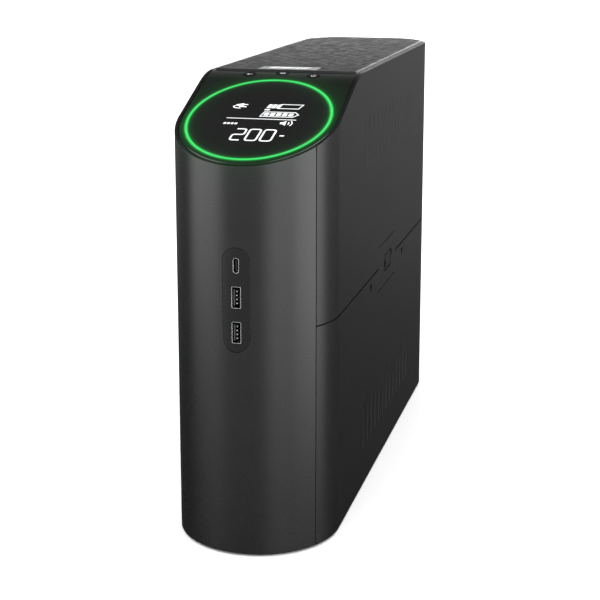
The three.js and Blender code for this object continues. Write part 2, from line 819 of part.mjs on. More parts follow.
function fanFrame() {
  const { size, depth, bore, hub } = FAN;
  const plate = cut(
    block([0, 0, 0], [size, size, depth]),
    bar(bore, -depth, depth, 32),
    ...[-1, 1].flatMap((i) => [-1, 1].map((j) => bar(2.1, -depth, depth, 8)
      .translate(i * (size / 2 - 5), j * (size / 2 - 5), 0))),
  );
  const struts = [0, 1, 2].map((index) => block([19, 0, -depth / 2 + 1], [20, 3.5, 2])
    .rotateZ(index * 2 * Math.PI / 3 + 0.3));
  return join(plate, bar(hub, -depth / 2, -depth / 2 + 3, 20), ...struts);
}

function fanRotor() {
  const { depth, bore, hub, blades } = FAN;
  const low = -depth / 2 + 3 + GAP + 0.2;
  const high = depth / 2 - 1;
  const reach = bore - 1.2 - (hub - 2);
  const vanes = Array.from({ length: blades }, (_, index) => block([0, 0, 0], [reach, 1.2, 12])
    .rotateX(0.75)
    .translate(hub - 2 + reach / 2, 0, (low + high) / 2)
    .rotateZ(index * 2 * Math.PI / blades));
  return join(bar(hub - 0.5, low, high, 20), ...vanes);
}

// ---- Assembly ----------------------------------------------------------------------

const ups = new THREE.Group();

function add(name, geometry, material, parent = ups) {
  const mesh = new THREE.Mesh(geometry, material);
  mesh.name = name;
  parent.add(mesh);
  return mesh;
}

// Casing
add('base_pan', basePan(), FINISH.panel);
for (const [end, y] of [['front', -150], ['rear', 160]]) {
  for (const [hand, x] of [['left', -30], ['right', 30]]) {
    add(`foot_${end}_${hand}`, foot(), FINISH.rubber).position.set(x, y, 0);
  }
}
add('front_cover', noseCover(), FINISH.casing);
add('upper_housing', upperHousing(), FINISH.sideCasing);
add('lower_housing', lowerHousing(), FINISH.sideCasing);
add('battery_door', batteryDoor(), FINISH.sideCasing);
add('door_latch', doorLatch(), FINISH.sideCasing);
add('top_cover', topCover(), FINISH.topGrain);
add('top_badge', topBadge(), FINISH.silver);

// Display end
add('display_bezel', displayBezel(), FINISH.gloss);
add('light_ring', lightRing(), FINISH.glow);
add('display_window', displayWindow(), FINISH.gloss);
for (const button of BUTTONS) {
  add(button.name, buttonBody(button, BUTTON_RADIUS, BUTTON_LENGTH, BUTTON_PROUD), FINISH.button);
}
const slope = slopeGroup();
ups.add(slope);
add('lcd_module', block([0, -2, -5.2], [58, 52, 3.8]), FINISH.lcd, slope);
add('display_board', block([0, 4, -11.2], [70, 84, BOARD_THICKNESS]), FINISH.board, slope);

// Charging ports
add('port_insert', portInsert(), FINISH.button);
add('usb_c_port', receptacle(USB_C_SIZE, USB_C_Z, 0, 0.8), FINISH.steel);
add('usb_a_port_upper', receptacle(USB_A_SIZE, USB_A_UPPER_Z, -1.3, 1.6), FINISH.steel);
add('usb_a_port_lower', receptacle(USB_A_SIZE, USB_A_LOWER_Z, -1.3, 1.6), FINISH.steel);
add('usb_board', usbBoard(), FINISH.board);

// Rear panel
add('panel_frame', panelFrame(), FINISH.panel);
add('inlet_plate', inletPlate(), FINISH.panel);
add('socket_plate', socketPlate(), FINISH.panel);
add('connector_plate', connectorPlate(), FINISH.panel);
for (const [index, [x, z]] of PANEL_SCREWS.entries()) {
  add(`panel_screw_${index + 1}`, panelScrew(), FINISH.steel).position.set(x, PANEL_FACE_Y, z);
}
add('outlet_strip_left', outletStrip(-1), FINISH.socket);
add('outlet_strip_right', outletStrip(1), FINISH.socket);
add('power_inlet', powerInlet(), FINISH.socket);
add('inlet_contacts', inletContacts(), FINISH.silver);
add('breaker_body', breakerBody(), FINISH.socket);
add('breaker_button', breakerButton(), FINISH.black);
add('data_port', jackBlock(DATA_PORT, 1), FINISH.socket);
add('network_port', jackBlock(NETWORK_PORT, 2), FINISH.socket);
add('coax_in', coaxSocket(COAX_X[0]), FINISH.silver);
add('coax_out', coaxSocket(COAX_X[1]), FINISH.silver);

// Battery
add('battery_lower', batteryBlock(0), FINISH.battery);
add('battery_upper', batteryBlock(1), FINISH.battery);
add('battery_sleeve', batterySleeve(), FINISH.strap);
add('battery_contacts', contactBlock(), FINISH.black);
add('battery_lead_red', lead(0), FINISH.red);
add('battery_lead_black', lead(12), FINISH.black);

// Transformer, in the lower front of the case
const transformer = new THREE.Group();
transformer.position.set(0, CORE_Y, PAN_TOP + 3 + GAP + CORE.height / 2);
ups.add(transformer);
add('transformer_core', transformerCore(), FINISH.steel, transformer);
add('transformer_coil', transformerCoil(), FINISH.coil, transformer);
add('transformer_bracket', transformerBracket(), FINISH.steel, transformer);
add('mid_deck', midDeck(), FINISH.panel);

// Main board, upright along the left wall, and what stands on it
add('main_board', box(
  [BOARD_X, -80, 156],
  [BOARD_X + BOARD_THICKNESS, 148, 284],
), FINISH.board);
const boardFace = new THREE.Group();
boardFace.position.set(BOARD_X + BOARD_THICKNESS + GAP, 0, 0);
ups.add(boardFace);
add('heat_sink', heatSink(), FINISH.aluminium, boardFace).position.set(0, -30, 215);
add('capacitor', capacitor(), FINISH.capacitor, boardFace).position.set(0, -20, 180);
add('choke', choke(), FINISH.copper, boardFace).position.set(8, 28, 182);
add('buzzer', bar(7, 0, 9, 16).rotateY(Math.PI / 2), FINISH.black, boardFace)
  .position.set(0, 128, 176);

// Fan, its axis across the case
const fan = new THREE.Group();
fan.position.set(FAN.x, FAN.y, FAN.z);
fan.rotation.y = Math.PI / 2;
ups.add(fan);
add('fan_frame', fanFrame(), FINISH.socket, fan);
add('fan_rotor', fanRotor(), FINISH.black, fan);

export default ups;
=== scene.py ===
"""Looks of a slim tower uninterruptible power supply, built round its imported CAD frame.

Metres, +Z up. The display end faces -Y, the sockets face +Y and the battery door is on the
+X side. Lengths written in millimetres are multiplied by MM where they are used.
"""

import math

import bmesh
import bpy
import numpy as np
from mathutils import Matrix, Vector
from mathutils.geometry import delaunay_2d_cdt


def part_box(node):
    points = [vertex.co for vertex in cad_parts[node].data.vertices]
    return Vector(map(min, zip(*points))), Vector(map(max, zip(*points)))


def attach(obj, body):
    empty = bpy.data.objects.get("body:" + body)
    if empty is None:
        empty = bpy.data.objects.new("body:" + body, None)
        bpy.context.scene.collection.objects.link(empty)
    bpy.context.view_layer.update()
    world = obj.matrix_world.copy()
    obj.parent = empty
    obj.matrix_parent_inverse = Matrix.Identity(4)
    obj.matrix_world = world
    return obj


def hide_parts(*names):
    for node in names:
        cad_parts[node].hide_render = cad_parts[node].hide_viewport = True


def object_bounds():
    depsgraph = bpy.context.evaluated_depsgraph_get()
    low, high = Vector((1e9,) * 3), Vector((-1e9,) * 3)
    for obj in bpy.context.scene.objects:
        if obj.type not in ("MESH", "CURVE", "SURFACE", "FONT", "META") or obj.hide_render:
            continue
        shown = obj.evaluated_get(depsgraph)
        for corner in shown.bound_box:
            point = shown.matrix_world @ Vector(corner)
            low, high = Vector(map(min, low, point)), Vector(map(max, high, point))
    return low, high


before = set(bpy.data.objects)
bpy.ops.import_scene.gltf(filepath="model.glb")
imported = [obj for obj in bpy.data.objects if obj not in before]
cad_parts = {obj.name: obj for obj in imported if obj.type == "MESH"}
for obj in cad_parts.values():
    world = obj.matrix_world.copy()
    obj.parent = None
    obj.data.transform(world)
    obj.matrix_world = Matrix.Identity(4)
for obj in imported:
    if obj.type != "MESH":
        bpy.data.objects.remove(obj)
CAD_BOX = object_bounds()

MM = 0.001
PER_METRE = 1000.0
GAP = 0.3 * MM

# ---- Sizes read from the CAD nodes ---------------------------------------------------

LOW, HIGH = CAD_BOX
HALF = HIGH.x
FRONT_Y = LOW.y
BACK_Y = HIGH.y
NOSE_Y = FRONT_Y + HALF
RIM_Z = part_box("upper_housing")[1].z
FOOT_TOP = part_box("front_cover")[0].z
SEAM_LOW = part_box("battery_door")[1].z
SEAM_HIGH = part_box("upper_housing")[0].z
WALL = 2.4 * MM

REAR_FLAT = 20 * MM
REAR_CORNER = 38 * MM
CORNER_Y = BACK_Y - REAR_CORNER

SLOPE = math.atan(0.412)
SLOPE_START_Z = 257 * MM
ROLL_RADIUS = 70 * MM
ROLL_END_Y = FRONT_Y + (RIM_Z - SLOPE_START_Z) / math.tan(SLOPE) + ROLL_RADIUS * math.tan(SLOPE / 2)
ROLL_CENTRE_Z = RIM_Z - ROLL_RADIUS
ROLL_START_Y = ROLL_END_Y - ROLL_RADIUS * math.sin(SLOPE)
BEZEL_END_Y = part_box("display_bezel")[1].y

RING_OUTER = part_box("light_ring")[1].x
RING_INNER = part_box("display_window")[1].x + GAP
RING_MIDDLE = (RING_OUTER + RING_INNER) / 2

SLOT_COUNT = 13
SLOT_PITCH = 14.5 * MM
SLOT_FIRST_Y = -73 * MM
SLOT_SIZE = (1.3 * MM, 37 * MM)
SLOT_ROWS_Z = (48.5 * MM, 251.5 * MM)


# ---- Outline of the case -------------------------------------------------------------


def outline_table():
    """Samples of the right half of the plan: way round, x, y and the normal's angle."""
    turn = np.linspace(0, math.pi / 2, 400)
    nose = np.stack([HALF * np.sin(turn), NOSE_Y - HALF * np.cos(turn), turn], 1)
    wide = HALF - REAR_FLAT
    corner = np.stack([
        REAR_FLAT + wide * np.cos(turn),
        CORNER_Y + REAR_CORNER * np.sin(turn),
        math.pi / 2 + np.arctan2(wide * np.sin(turn), REAR_CORNER * np.cos(turn)),
    ], 1)
    end = np.array([[0, BACK_Y, math.pi]])
    rows = np.concatenate([nose, corner, end])
    steps = np.hypot(*np.diff(rows[:, :2], axis=0).T)
    way = np.concatenate([[0], np.cumsum(steps)])
    return way, rows


WAY, ROWS = outline_table()
ROUND = 2 * WAY[-1]
NOSE_WAY = WAY[399]


def walk(way):
    """Place and outward normal on the plan at a distance round it from the nose."""
    way = np.mod(way, ROUND)
    hand = np.where(way > ROUND / 2, -1.0, 1.0)
    way = np.minimum(way, ROUND - way)
    x, y, angle = (np.interp(way, WAY, ROWS[:, k]) for k in range(3))
    return hand * x, y, hand * np.sin(angle), -np.cos(angle)


def side_way(y):
    """The way round at a place on the straight right side."""
    return NOSE_WAY + (y - NOSE_Y)


def corner_way(x):
    """The way round at a distance from the middle, on the right rear corner."""
    rows, way = ROWS[400:800], WAY[400:800]
    return float(np.interp(-x, -rows[:, 0], way))


def roof(y):
    """Height of the roof line, and its slope's angle."""
    y = np.asarray(y, float)
    slope = SLOPE_START_Z + (y - FRONT_Y) * math.tan(SLOPE)
    reach = np.clip(ROLL_END_Y - y, 0, ROLL_RADIUS * math.sin(SLOPE))
    roll = ROLL_CENTRE_Z + np.sqrt(ROLL_RADIUS**2 - reach**2)
    return np.where(y < ROLL_START_Y, slope, roll), np.arcsin(reach / ROLL_RADIUS)


# ---- Surfaces that plates are laid on ------------------------------------------------


def on_wall(sink=0.0):
    """u runs round the case and v is height."""
    def place(u, v, depth):
        x, y, nx, ny = walk(u)
        inward = depth + sink
        return np.stack([x - nx * inward, y - ny * inward, v + 0 * x], -1)
    return place


def on_roof(sink=0.0):
    """u is across the case and v is along it, in plan."""
    def place(u, v, depth):
        z, angle = roof(v)
        inward = depth + sink
        return np.stack([u + 0 * z, v + inward * np.sin(angle), z - inward * np.cos(angle)], -1)
    return place


def on_plane(origin, across, up):
    """u and v run along two directions of a flat plane, and depth goes behind it."""
    origin, across, up = (np.array(q, float) for q in (origin, across, up))
    normal = np.cross(across, up)
    def place(u, v, depth):
        u, v, depth = (np.asarray(q, float)[..., None] for q in np.broadcast_arrays(u, v, depth))
        return origin + u * across + v * up - depth * normal
    return place


def facing_back(y):
    """A plane seen from behind the case: u is -x and v is height."""
    return on_plane((0, y, 0), (-1, 0, 0), (0, 0, 1))


def facing_front(y):
    return on_plane((0, y, 0), (1, 0, 0), (0, 0, 1))


def facing_up(z):
    return on_plane((0, 0, z), (1, 0, 0), (0, 1, 0))


# ---- Loops ---------------------------------------------------------------------------


def densify(loop, step):
    """Adds points so that no side of a closed loop is longer than a step."""
    points = []
    for here, there in zip(loop, np.roll(loop, -1, 0)):
        count = max(1, int(math.ceil(np.linalg.norm(there - here) / step)))
        for k in range(count):
            points.append(here + (there - here) * k / count)
    return np.array(points)


def rectangle(width, height, middle=(0, 0), radius=0.0, steps=5):
    """A rectangle, with round corners where a radius is given."""
    w, h = width / 2, height / 2
    if radius <= 0:
        corners = [(w, -h), (w, h), (-w, h), (-w, -h)]
        return np.array(corners) + middle
    points = []
    for quarter, (sx, sy) in enumerate([(1, 1), (-1, 1), (-1, -1), (1, -1)]):
        for k in range(steps + 1):
            angle = (quarter + k / steps) * math.pi / 2
            points.append((
                sx * (w - radius) + radius * math.cos(angle),
                sy * (h - radius) + radius * math.sin(angle),
            ))
    points = np.array(points)
    apart = np.linalg.norm(points - np.roll(points, 1, 0), axis=1) > 1e-7
    return points[apart] + middle


def ellipse(rx, ry=None, middle=(0, 0), sides=48):
    angle = np.arange(sides) * 2 * math.pi / sides
    return np.stack([rx * np.cos(angle), (ry or rx) * np.sin(angle)], 1) + middle


def polygon(points, middle=(0, 0)):
    """A loop drawn in millimetres about a middle in metres."""
    return np.array(points, float) * MM + middle


def signed_area(loop):
    x, y = loop.T
    return 0.5 * float(np.sum(x * np.roll(y, -1) - np.roll(x, -1) * y))


def wind(loop, anticlockwise):
    return loop if (signed_area(loop) > 0) == anticlockwise else loop[::-1]


def left_of(loop):
    """Mitred offset to the left at each point, and each side's shading normal at its ends."""
    ahead = np.roll(loop, -1, 0) - loop
    ahead = ahead / np.maximum(np.linalg.norm(ahead, axis=1, keepdims=True), 1e-12)
    side = np.stack([-ahead[:, 1], ahead[:, 0]], 1)
    before = np.roll(side, 1, 0)
    dot = np.sum(side * before, 1, keepdims=True)
    mitre = (side + before) / np.maximum(1 + dot, 0.3)
    smooth = side + before
    smooth = smooth / np.maximum(np.linalg.norm(smooth, axis=1, keepdims=True), 1e-9)
    crease = dot < math.cos(math.radians(32))
    start = np.where(crease, side, smooth)
    end = np.where(np.roll(crease, -1, 0), side, np.roll(smooth, -1, 0))
    return mitre, start, end


def inside(points, loops):
    """Which points lie in the outline and in no hole."""
    x, y = points[:, 0], points[:, 1]
    odd = np.zeros(len(points), bool)
    for loop in loops:
        for (ax, ay), (bx, by) in zip(loop, np.roll(loop, -1, 0)):
            if ay == by:
                continue
            span = (ay > y) != (by > y)
            odd ^= span & (x < (bx - ax) * (y - ay) / (by - ay) + ax)
    return odd


# ---- Plates --------------------------------------------------------------------------


def rounded(radius, steps=5):
    """A rounded rim, as rings of (inset, depth, angle)."""
    turn = [k / steps * math.pi / 2 for k in range(steps + 1)]
    return radius, [(1 - math.sin(t), 1 - math.cos(t), t, t) for t in turn]


def chamfered(size):
    """A rim with one flat chamfer, a little soft where it meets the face and the side."""
    t = math.pi / 4
    rings = [(1.15, 0.0, 0.0, 0.0), (0.92, 0.1, t, t), (0.1, 0.92, t, t), (0.0, 1.15, 2 * t, 2 * t)]
    return size, rings


def link_object(name, mesh):
    obj = bpy.data.objects.new(name, mesh)
    bpy.context.scene.collection.objects.link(obj)
    return obj


def mesh_object(name, points, faces, normals=None):
    mesh = bpy.data.meshes.new(name)
    mesh.from_pydata([tuple(p) for p in points], [], [tuple(f) for f in faces])
    mesh.shade_smooth()
    if normals is not None:
        mesh.normals_split_custom_set([tuple(n) for n in normals])
    return link_object(name, mesh)


def surface_axes(place, u, v):
    """Unit directions of u, v and the outward normal at places on a surface."""
    step = 0.05 * MM
    tu = place(u + step, v, 0) - place(u - step, v, 0)
    tv = place(u, v + step, 0) - place(u, v - step, 0)
    tu /= np.linalg.norm(tu, axis=-1, keepdims=True)
    tv /= np.linalg.norm(tv, axis=-1, keepdims=True)
    up = np.cross(tu, tv)
    return tu, tv, up / np.linalg.norm(up, axis=-1, keepdims=True)


def face_grid(outline, face_loops, columns, rows):
    """Points of a face's own, where its columns and rows cross clear of its rims."""
    if columns is None and rows is None:
        return np.zeros((0, 2))
    low, high = outline.min(0), outline.max(0)
    columns = np.linspace(low[0], high[0], 9) if columns is None else np.asarray(columns)
    rows = np.linspace(low[1], high[1], 9) if rows is None else np.asarray(rows)
    grid = np.stack(np.meshgrid(columns, rows), -1).reshape(-1, 2)
    clear = [loop + left_of(loop)[0] * 0.35 * MM for loop in face_loops]
    return grid[inside(grid, clear)]


def triangulate(face_loops, inner):
    """Triangles over the loops' inside, through its points, all wound anticlockwise."""
    flat = np.concatenate(face_loops + [inner])
    edges, offset = [], 0
    for loop in face_loops:
        n = len(loop)
        edges += [(offset + k, offset + (k + 1) % n) for k in range(n)]
        offset += n
    _, _, triangles, origin, _, _ = delaunay_2d_cdt(
        [Vector(p * PER_METRE) for p in flat], edges, [], 0, 1e-6, True)
    origin = np.array([o[0] if o else -1 for o in origin])
    triangles = origin[np.array([t for t in triangles if len(t) == 3])]
    triangles = triangles[(triangles >= 0).all(1)]
    triangles = triangles[inside(flat[triangles].mean(1), face_loops)]
    a, b, c = (flat[triangles[:, k]] for k in range(3))
    turn = (b - a)[:, 0] * (c - a)[:, 1] - (b - a)[:, 1] * (c - a)[:, 0]
    return np.where(turn[:, None] > 0, triangles, triangles[:, ::-1])


def plate(name, loops, place, thickness, rim, columns=None, rows=None, hole_rim=None):
    """A plate cut to loops drawn on a surface, with shaped rims and exact shading normals.

    loops[0] is the outline and the rest are holes. columns and rows are where the face gets
    points of its own, so that it follows a curved surface.
    """
    loops = [wind(np.asarray(loop, float), index == 0) for index, loop in enumerate(loops)]
    rims = [rim] + [hole_rim or rim] * (len(loops) - 1)
    points, faces, shading, face_loops, ups, fronts, backs = ([] for _ in range(7))
    count = 0
    for loop, (size, rings) in zip(loops, rims):
        n = len(loop)
        mitre, start, end = left_of(loop)
        size = np.broadcast_to(np.asarray(size, float), (n,))
        first = loop + mitre * (rings[0][0] * size)[:, None]
        tu, tv, up = surface_axes(place, *first.T)
        for inset, depth, _, _ in rings:
            ring = loop + mitre * (inset * size)[:, None]
            points.append(place(ring[:, 0], ring[:, 1], depth * size))
        points.append(place(loop[:, 0], loop[:, 1], np.full(n, thickness)))
        here = np.arange(n)
        there = (here + 1) % n

        def shade(which, out, angle):
            flat = -(out[:, :1] * tu[which] + out[:, 1:] * tv[which])
            return math.sin(angle) * flat + math.cos(angle) * up[which]

        angles = [(a[3], b[2]) for a, b in zip(rings, rings[1:])] + [(math.pi / 2,) * 2]
        for k, (top, bottom) in enumerate(angles):
            a, b = count + k * n, count + (k + 1) * n
            faces.append(np.stack([b + here, b + there, a + there, a + here], 1))
            shading.append(np.stack([
                shade(here, start, bottom), shade(there, end, bottom),
                shade(there, end, top), shade(here, start, top)], 1).reshape(-1, 3))
        face_loops.append(first)
        ups.append(up)
        fronts.append(count + here)
        backs.append(count + len(rings) * n + here)
        count += (len(rings) + 1) * n

    inner = face_grid(loops[0], face_loops, columns, rows)
    if len(inner):
        points += [place(*inner.T, np.full(len(inner), depth)) for depth in (0.0, thickness)]
        ups.append(surface_axes(place, *inner.T)[2])
        fronts.append(count + np.arange(len(inner)))
        backs.append(count + len(inner) + np.arange(len(inner)))
    front, back, ups = (np.concatenate(part) for part in (fronts, backs, ups))
    triangles = triangulate(face_loops, inner)
    behind = triangles[:, ::-1]
    faces += [front[triangles], back[behind]]
    shading += [ups[triangles].reshape(-1, 3), -ups[behind].reshape(-1, 3)]
    shapes = [face.tolist() for group in faces for face in group]
    return mesh_object(name, np.concatenate(points), shapes, np.concatenate(shading))


def wall_columns(low, high):
    """Where a wall plate needs points: close together on the curves, far apart on the flats."""
    flat_start, flat_end = side_way(NOSE_Y), side_way(CORNER_Y)
    columns = []
    way = low
    while way < high:
        columns.append(way)
        folded = min(way % ROUND, ROUND - way % ROUND)
        straight = flat_start < folded < flat_end or folded > corner_way(REAR_FLAT)
        way += 14 * MM if straight else 1.6 * MM
    return columns


def lathe(name, profile, matrix, sides=48, crease=35):
    """A turned piece about Z from (radius, height) points, placed by a matrix."""
    points, faces, rings = [], [], []
    for radius, height in profile:
        if radius <= 1e-9:
            rings.append([len(points)] * sides)
            points.append((0, 0, height))
            continue
        rings.append(list(range(len(points), len(points) + sides)))
        for k in range(sides):
            angle = 2 * math.pi * k / sides
            points.append((radius * math.cos(angle), radius * math.sin(angle), height))
    for lower, upper in zip(rings, rings[1:]):
        for k in range(sides):
            face = [lower[k], lower[(k + 1) % sides], upper[(k + 1) % sides], upper[k]]
            face = list(dict.fromkeys(face))
            if len(face) > 2:
                faces.append(face)
    obj = mesh_object(name, points, faces)
    obj.data.set_sharp_from_angle(angle=math.radians(crease))
    obj.data.transform(matrix)
    return obj


def bevelled_box(name, low, high, radius, segments=3):
    """A moulded block between two corners, every edge rounded."""
    mesh = bpy.data.meshes.new(name)
    work = bmesh.new()
    bmesh.ops.create_cube(work, size=1)
    low, high = Vector(low), Vector(high)
    size, middle = high - low, (high + low) / 2
    for vertex in work.verts:
        vertex.co = Vector(a * b for a, b in zip(vertex.co, size)) + middle
    bmesh.ops.bevel(
        work, geom=list(work.edges), offset=radius, segments=segments, profile=0.5,
        affect="EDGES", clamp_overlap=True)
    work.to_mesh(mesh)
    work.free()
    mesh.shade_smooth()
    mesh.set_sharp_from_angle(angle=math.radians(40))
    obj = link_object(name, mesh)
    soften = obj.modifiers.new("normals", "WEIGHTED_NORMAL")
    soften.keep_sharp = True
    return obj


def refined(name, node, radius, segments=2):
    """The CAD node's own shape, its facets merged and its sharp edges rounded."""
    sharp = math.radians(30)
    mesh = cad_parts[node].data.copy()
    mesh.name = name
    mesh.materials.clear()
    work = bmesh.new()
    work.from_mesh(mesh)
    bmesh.ops.remove_doubles(work, verts=work.verts, dist=1e-6)
    bmesh.ops.dissolve_limit(
        work, angle_limit=math.radians(1), verts=work.verts, edges=work.edges)
    work.to_mesh(mesh)
    work.free()
    if "custom_normal" in mesh.attributes:
        mesh.attributes.remove(mesh.attributes["custom_normal"])
    mesh.shade_smooth()
    obj = link_object(name, mesh)
    bevel = obj.modifiers.new("rim", "BEVEL")
    bevel.width = radius
    bevel.segments = segments
    bevel.limit_method = "ANGLE"
    bevel.angle_limit = sharp
    mesh.set_sharp_from_angle(angle=sharp)
    return obj


def tube(name, path, radius, sides=16, samples=80):
    """A round lead along a smooth route."""
    route = np.array(path, float)
    knots = np.linspace(0, 1, len(route))
    fine = np.linspace(0, 1, samples)
    line = np.stack([smooth_through(knots, route[:, k], fine) for k in range(3)], 1)
    points, faces = [], []
    aside = Vector((0, 1, 0))
    for k, here in enumerate(line):
        ahead = Vector(line[min(k + 1, samples - 1)] - line[max(k - 1, 0)]).normalized()
        u = (aside - ahead * aside.dot(ahead)).normalized()
        v = ahead.cross(u)
        for j in range(sides):
            angle = 2 * math.pi * j / sides
            offset = u * math.cos(angle) * radius + v * math.sin(angle) * radius
            points.append(tuple(Vector(here) + offset))
    for k in range(samples - 1):
        for j in range(sides):
            a, b = k * sides + j, k * sides + (j + 1) % sides
            faces.append((a, b, b + sides, a + sides))
    faces.append(tuple(range(sides))[::-1])
    faces.append(tuple(range((samples - 1) * sides, samples * sides)))
    return mesh_object(name, points, faces)


def smooth_through(knots, values, at):
    """Catmull-Rom interpolation of one coordinate."""
    slopes = np.gradient(values, knots)
    k = np.clip(np.searchsorted(knots, at, side="right") - 1, 0, len(knots) - 2)
    span = knots[k + 1] - knots[k]
    t = (at - knots[k]) / span
    return ((2 * t**3 - 3 * t**2 + 1) * values[k] + (t**3 - 2 * t**2 + t) * span * slopes[k]
            + (3 * t**2 - 2 * t**3) * values[k + 1] + (t**3 - t**2) * span * slopes[k + 1])


def merge(name, objects):
    """One piece out of several objects that share a material."""
    for obj in objects:
        if obj.modifiers:
            evaluated = obj.evaluated_get(bpy.context.evaluated_depsgraph_get())
            obj.data = bpy.data.meshes.new_from_object(evaluated)
            obj.modifiers.clear()
    with bpy.context.temp_override(
            active_object=objects[0], selected_editable_objects=objects, object=objects[0]):
        bpy.ops.object.join()
    objects[0].name = name
    return objects[0]


# ---- Materials -----------------------------------------------------------------------


class Tree:
    """Short ways to add nodes to a material's or the world's tree."""

    def __init__(self, owner):
        owner.use_nodes = True
        self.nodes, self.links = owner.node_tree.nodes, owner.node_tree.links

    def put(self, socket, value):
        """Sets a socket, or links it where the value is another node's output."""
        if isinstance(value, bpy.types.NodeSocket):
            self.links.new(value, socket)
        else:
            socket.default_value = (*value, 1) if socket.type == "RGBA" else value

    def add(self, kind, **values):
        node = self.nodes.new(f"ShaderNode{kind}")
        for key, value in values.items():
            self.put(node.inputs[key.replace("_", " ")], value)
        return node

    def math(self, operation, *values):
        node = self.add("Math")
        node.operation = operation
        for socket, value in zip(node.inputs, values):
            self.put(socket, value)
        return node.outputs[0]

    def ramp(self, amount, stops):
        """A colour from stops of (place from 0 to 1, colour)."""
        node = self.add("ValToRGB", Fac=amount)
        elements = node.color_ramp.elements
        while len(elements) < len(stops):
            elements.new(0.5)
        for element, (place, colour) in zip(elements, stops):
            element.position = place
            element.color = (*colour, 1)
        return node.outputs["Color"]


class Paint(Tree):
    """A Principled material and what feeds it."""

    def __init__(self, name, **values):
        self.material = bpy.data.materials.new(name)
        super().__init__(self.material)
        self.shader = self.nodes["Principled BSDF"]
        self.place = self.add("TexCoord").outputs["Object"]
        self.feed(**values)

    def feed(self, **values):
        for key, value in values.items():
            self.put(self.shader.inputs[key.replace("_", " ")], value)

    def axes(self):
        return self.add("SeparateXYZ", Vector=self.place).outputs

    def noise(self, size, detail=2.0, stretch=None):
        """Noise whose features are about a size, in metres."""
        place = self.place
        if stretch:
            place = self.add("Mapping", Vector=place, Scale=stretch).outputs["Vector"]
        return self.add("TexNoise", Vector=place, Scale=1 / size, Detail=detail).outputs["Fac"]

    def between(self, amount, low, high, start=0.3, end=0.7):
        """A number that goes from low to high as an amount goes from start to end."""
        node = self.add(
            "MapRange", Value=amount, From_Min=start, From_Max=end, To_Min=low, To_Max=high)
        return node.outputs["Result"]

    def blend(self, amount, first, second, start=0.3, end=0.7):
        """A colour between two, by an amount."""
        return self.ramp(amount, [(start, first), (end, second)])

    def bump(self, height, strength, distance):
        node = self.add("Bump", Strength=strength, Distance=distance, Height=height)
        self.feed(Normal=node.outputs["Normal"])

    def fade(self, distance, reach, strength):
        """Light that dies away with distance."""
        fall = self.math("EXPONENT", self.math("MULTIPLY", distance, -1 / reach))
        return self.math("MULTIPLY", fall, strength)


def tint(colour, amount):
    return tuple(c * amount for c in colour)


def grey(value):
    return (value,) * 3


MOTTLE = 0.12


def plastic(name, colour, roughness, grain=0.5 * MM, depth=0.25, specular=0.5):
    """Moulded plastic: a fine spark-eroded grain, faint mottling and uneven polish."""
    paint = Paint(name, Specular_IOR_Level=specular)
    broad = paint.noise(28 * MM, detail=3)
    fine = paint.noise(grain, detail=3)
    paint.feed(
        Base_Color=paint.blend(broad, tint(colour, 1 - MOTTLE), tint(colour, 1 + MOTTLE)),
        Roughness=paint.between(fine, roughness - 0.05, roughness + 0.05))
    paint.bump(fine, depth, 0.06 * MM)
    return paint


TOP_LOW, TOP_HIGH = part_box("top_cover")
TOP_BORDER = 2.6 * MM


def top_plastic(name, colour, roughness):
    """Moulded top: rougher towards the front, with a polished border along each side, its base colour
    lightened there as a painted highlight.
    """
    paint = plastic(name, colour, roughness, grain=0.4 * MM, depth=0.12)
    axes = paint.axes()
    aside = paint.math("ABSOLUTE", axes["X"])
    streaks = paint.noise(5 * MM, stretch=(1, 0.25, 1))
    border = TOP_HIGH.x - TOP_BORDER
    polish = paint.between(aside, 0.0, 0.15, border, border + 0.6 * MM)
    along = paint.between(axes["Y"], 0.07, -0.03, TOP_LOW.y, TOP_HIGH.y)
    uneven = paint.between(streaks, roughness - 0.06, roughness + 0.06)
    uneven = paint.math("ADD", uneven, along)
    # painted highlight: the base colour turns much lighter along each side's border, in place of the light
    # the rim catches
    painted_rim_highlight = paint.between(aside, 0.0, 1.0, border + 0.3 * MM, border + 0.7 * MM)
    edge = paint.add("Mix")
    edge.data_type = "RGBA"
    shades = [socket for socket in edge.inputs if socket.type == "RGBA"]
    paint.put(edge.inputs[0], painted_rim_highlight)
    paint.put(shades[0], paint.shader.inputs["Base Color"].links[0].from_socket)
    paint.put(shades[1], paint.blend(streaks, (0.085, 0.086, 0.088), (0.12, 0.121, 0.123)))
    paint.feed(Roughness=paint.math("SUBTRACT", uneven, polish), Base_Color=edge.outputs[2])
    return paint


def metal(name, colour, roughness, brush=(1, 1, 1)):
    """Plated or drawn metal, brushed along one axis where a stretch is given."""
    paint = Paint(name, Metallic=1.0)
    lines = paint.noise(0.4 * MM, detail=4, stretch=brush)
    broad = paint.noise(6 * MM)
    paint.feed(
        Base_Color=paint.blend(broad, tint(colour, 0.88), colour),
        Roughness=paint.between(lines, roughness * 0.75, roughness * 1.3))
    paint.bump(lines, 0.12, 0.03 * MM)
    return paint


GREEN = (0.045, 0.80, 0.13)


def ring_distance(paint):
    """How far a point is, in plan, from the middle of the light ring."""
    axes = paint.axes()
    along = paint.math("SUBTRACT", axes["Y"], NOSE_Y)
    squares = paint.math(
        "ADD", paint.math("MULTIPLY", axes["X"], axes["X"]), paint.math("MULTIPLY", along, along))
    return paint.math("ABSOLUTE", paint.math("SUBTRACT", paint.math("SQRT", squares), RING_MIDDLE))


def add_glow(paint, far_strength, far_reach):
    """Light that leaks from the ring into the gloss panel: a bright edge and a wide haze."""
    away = ring_distance(paint)
    edge, haze = paint.fade(away, 0.85 * MM, 0.75), paint.fade(away, far_reach, far_strength)
    paint.feed(Emission_Color=GREEN, Emission_Strength=paint.math("ADD", edge, haze))
    return paint


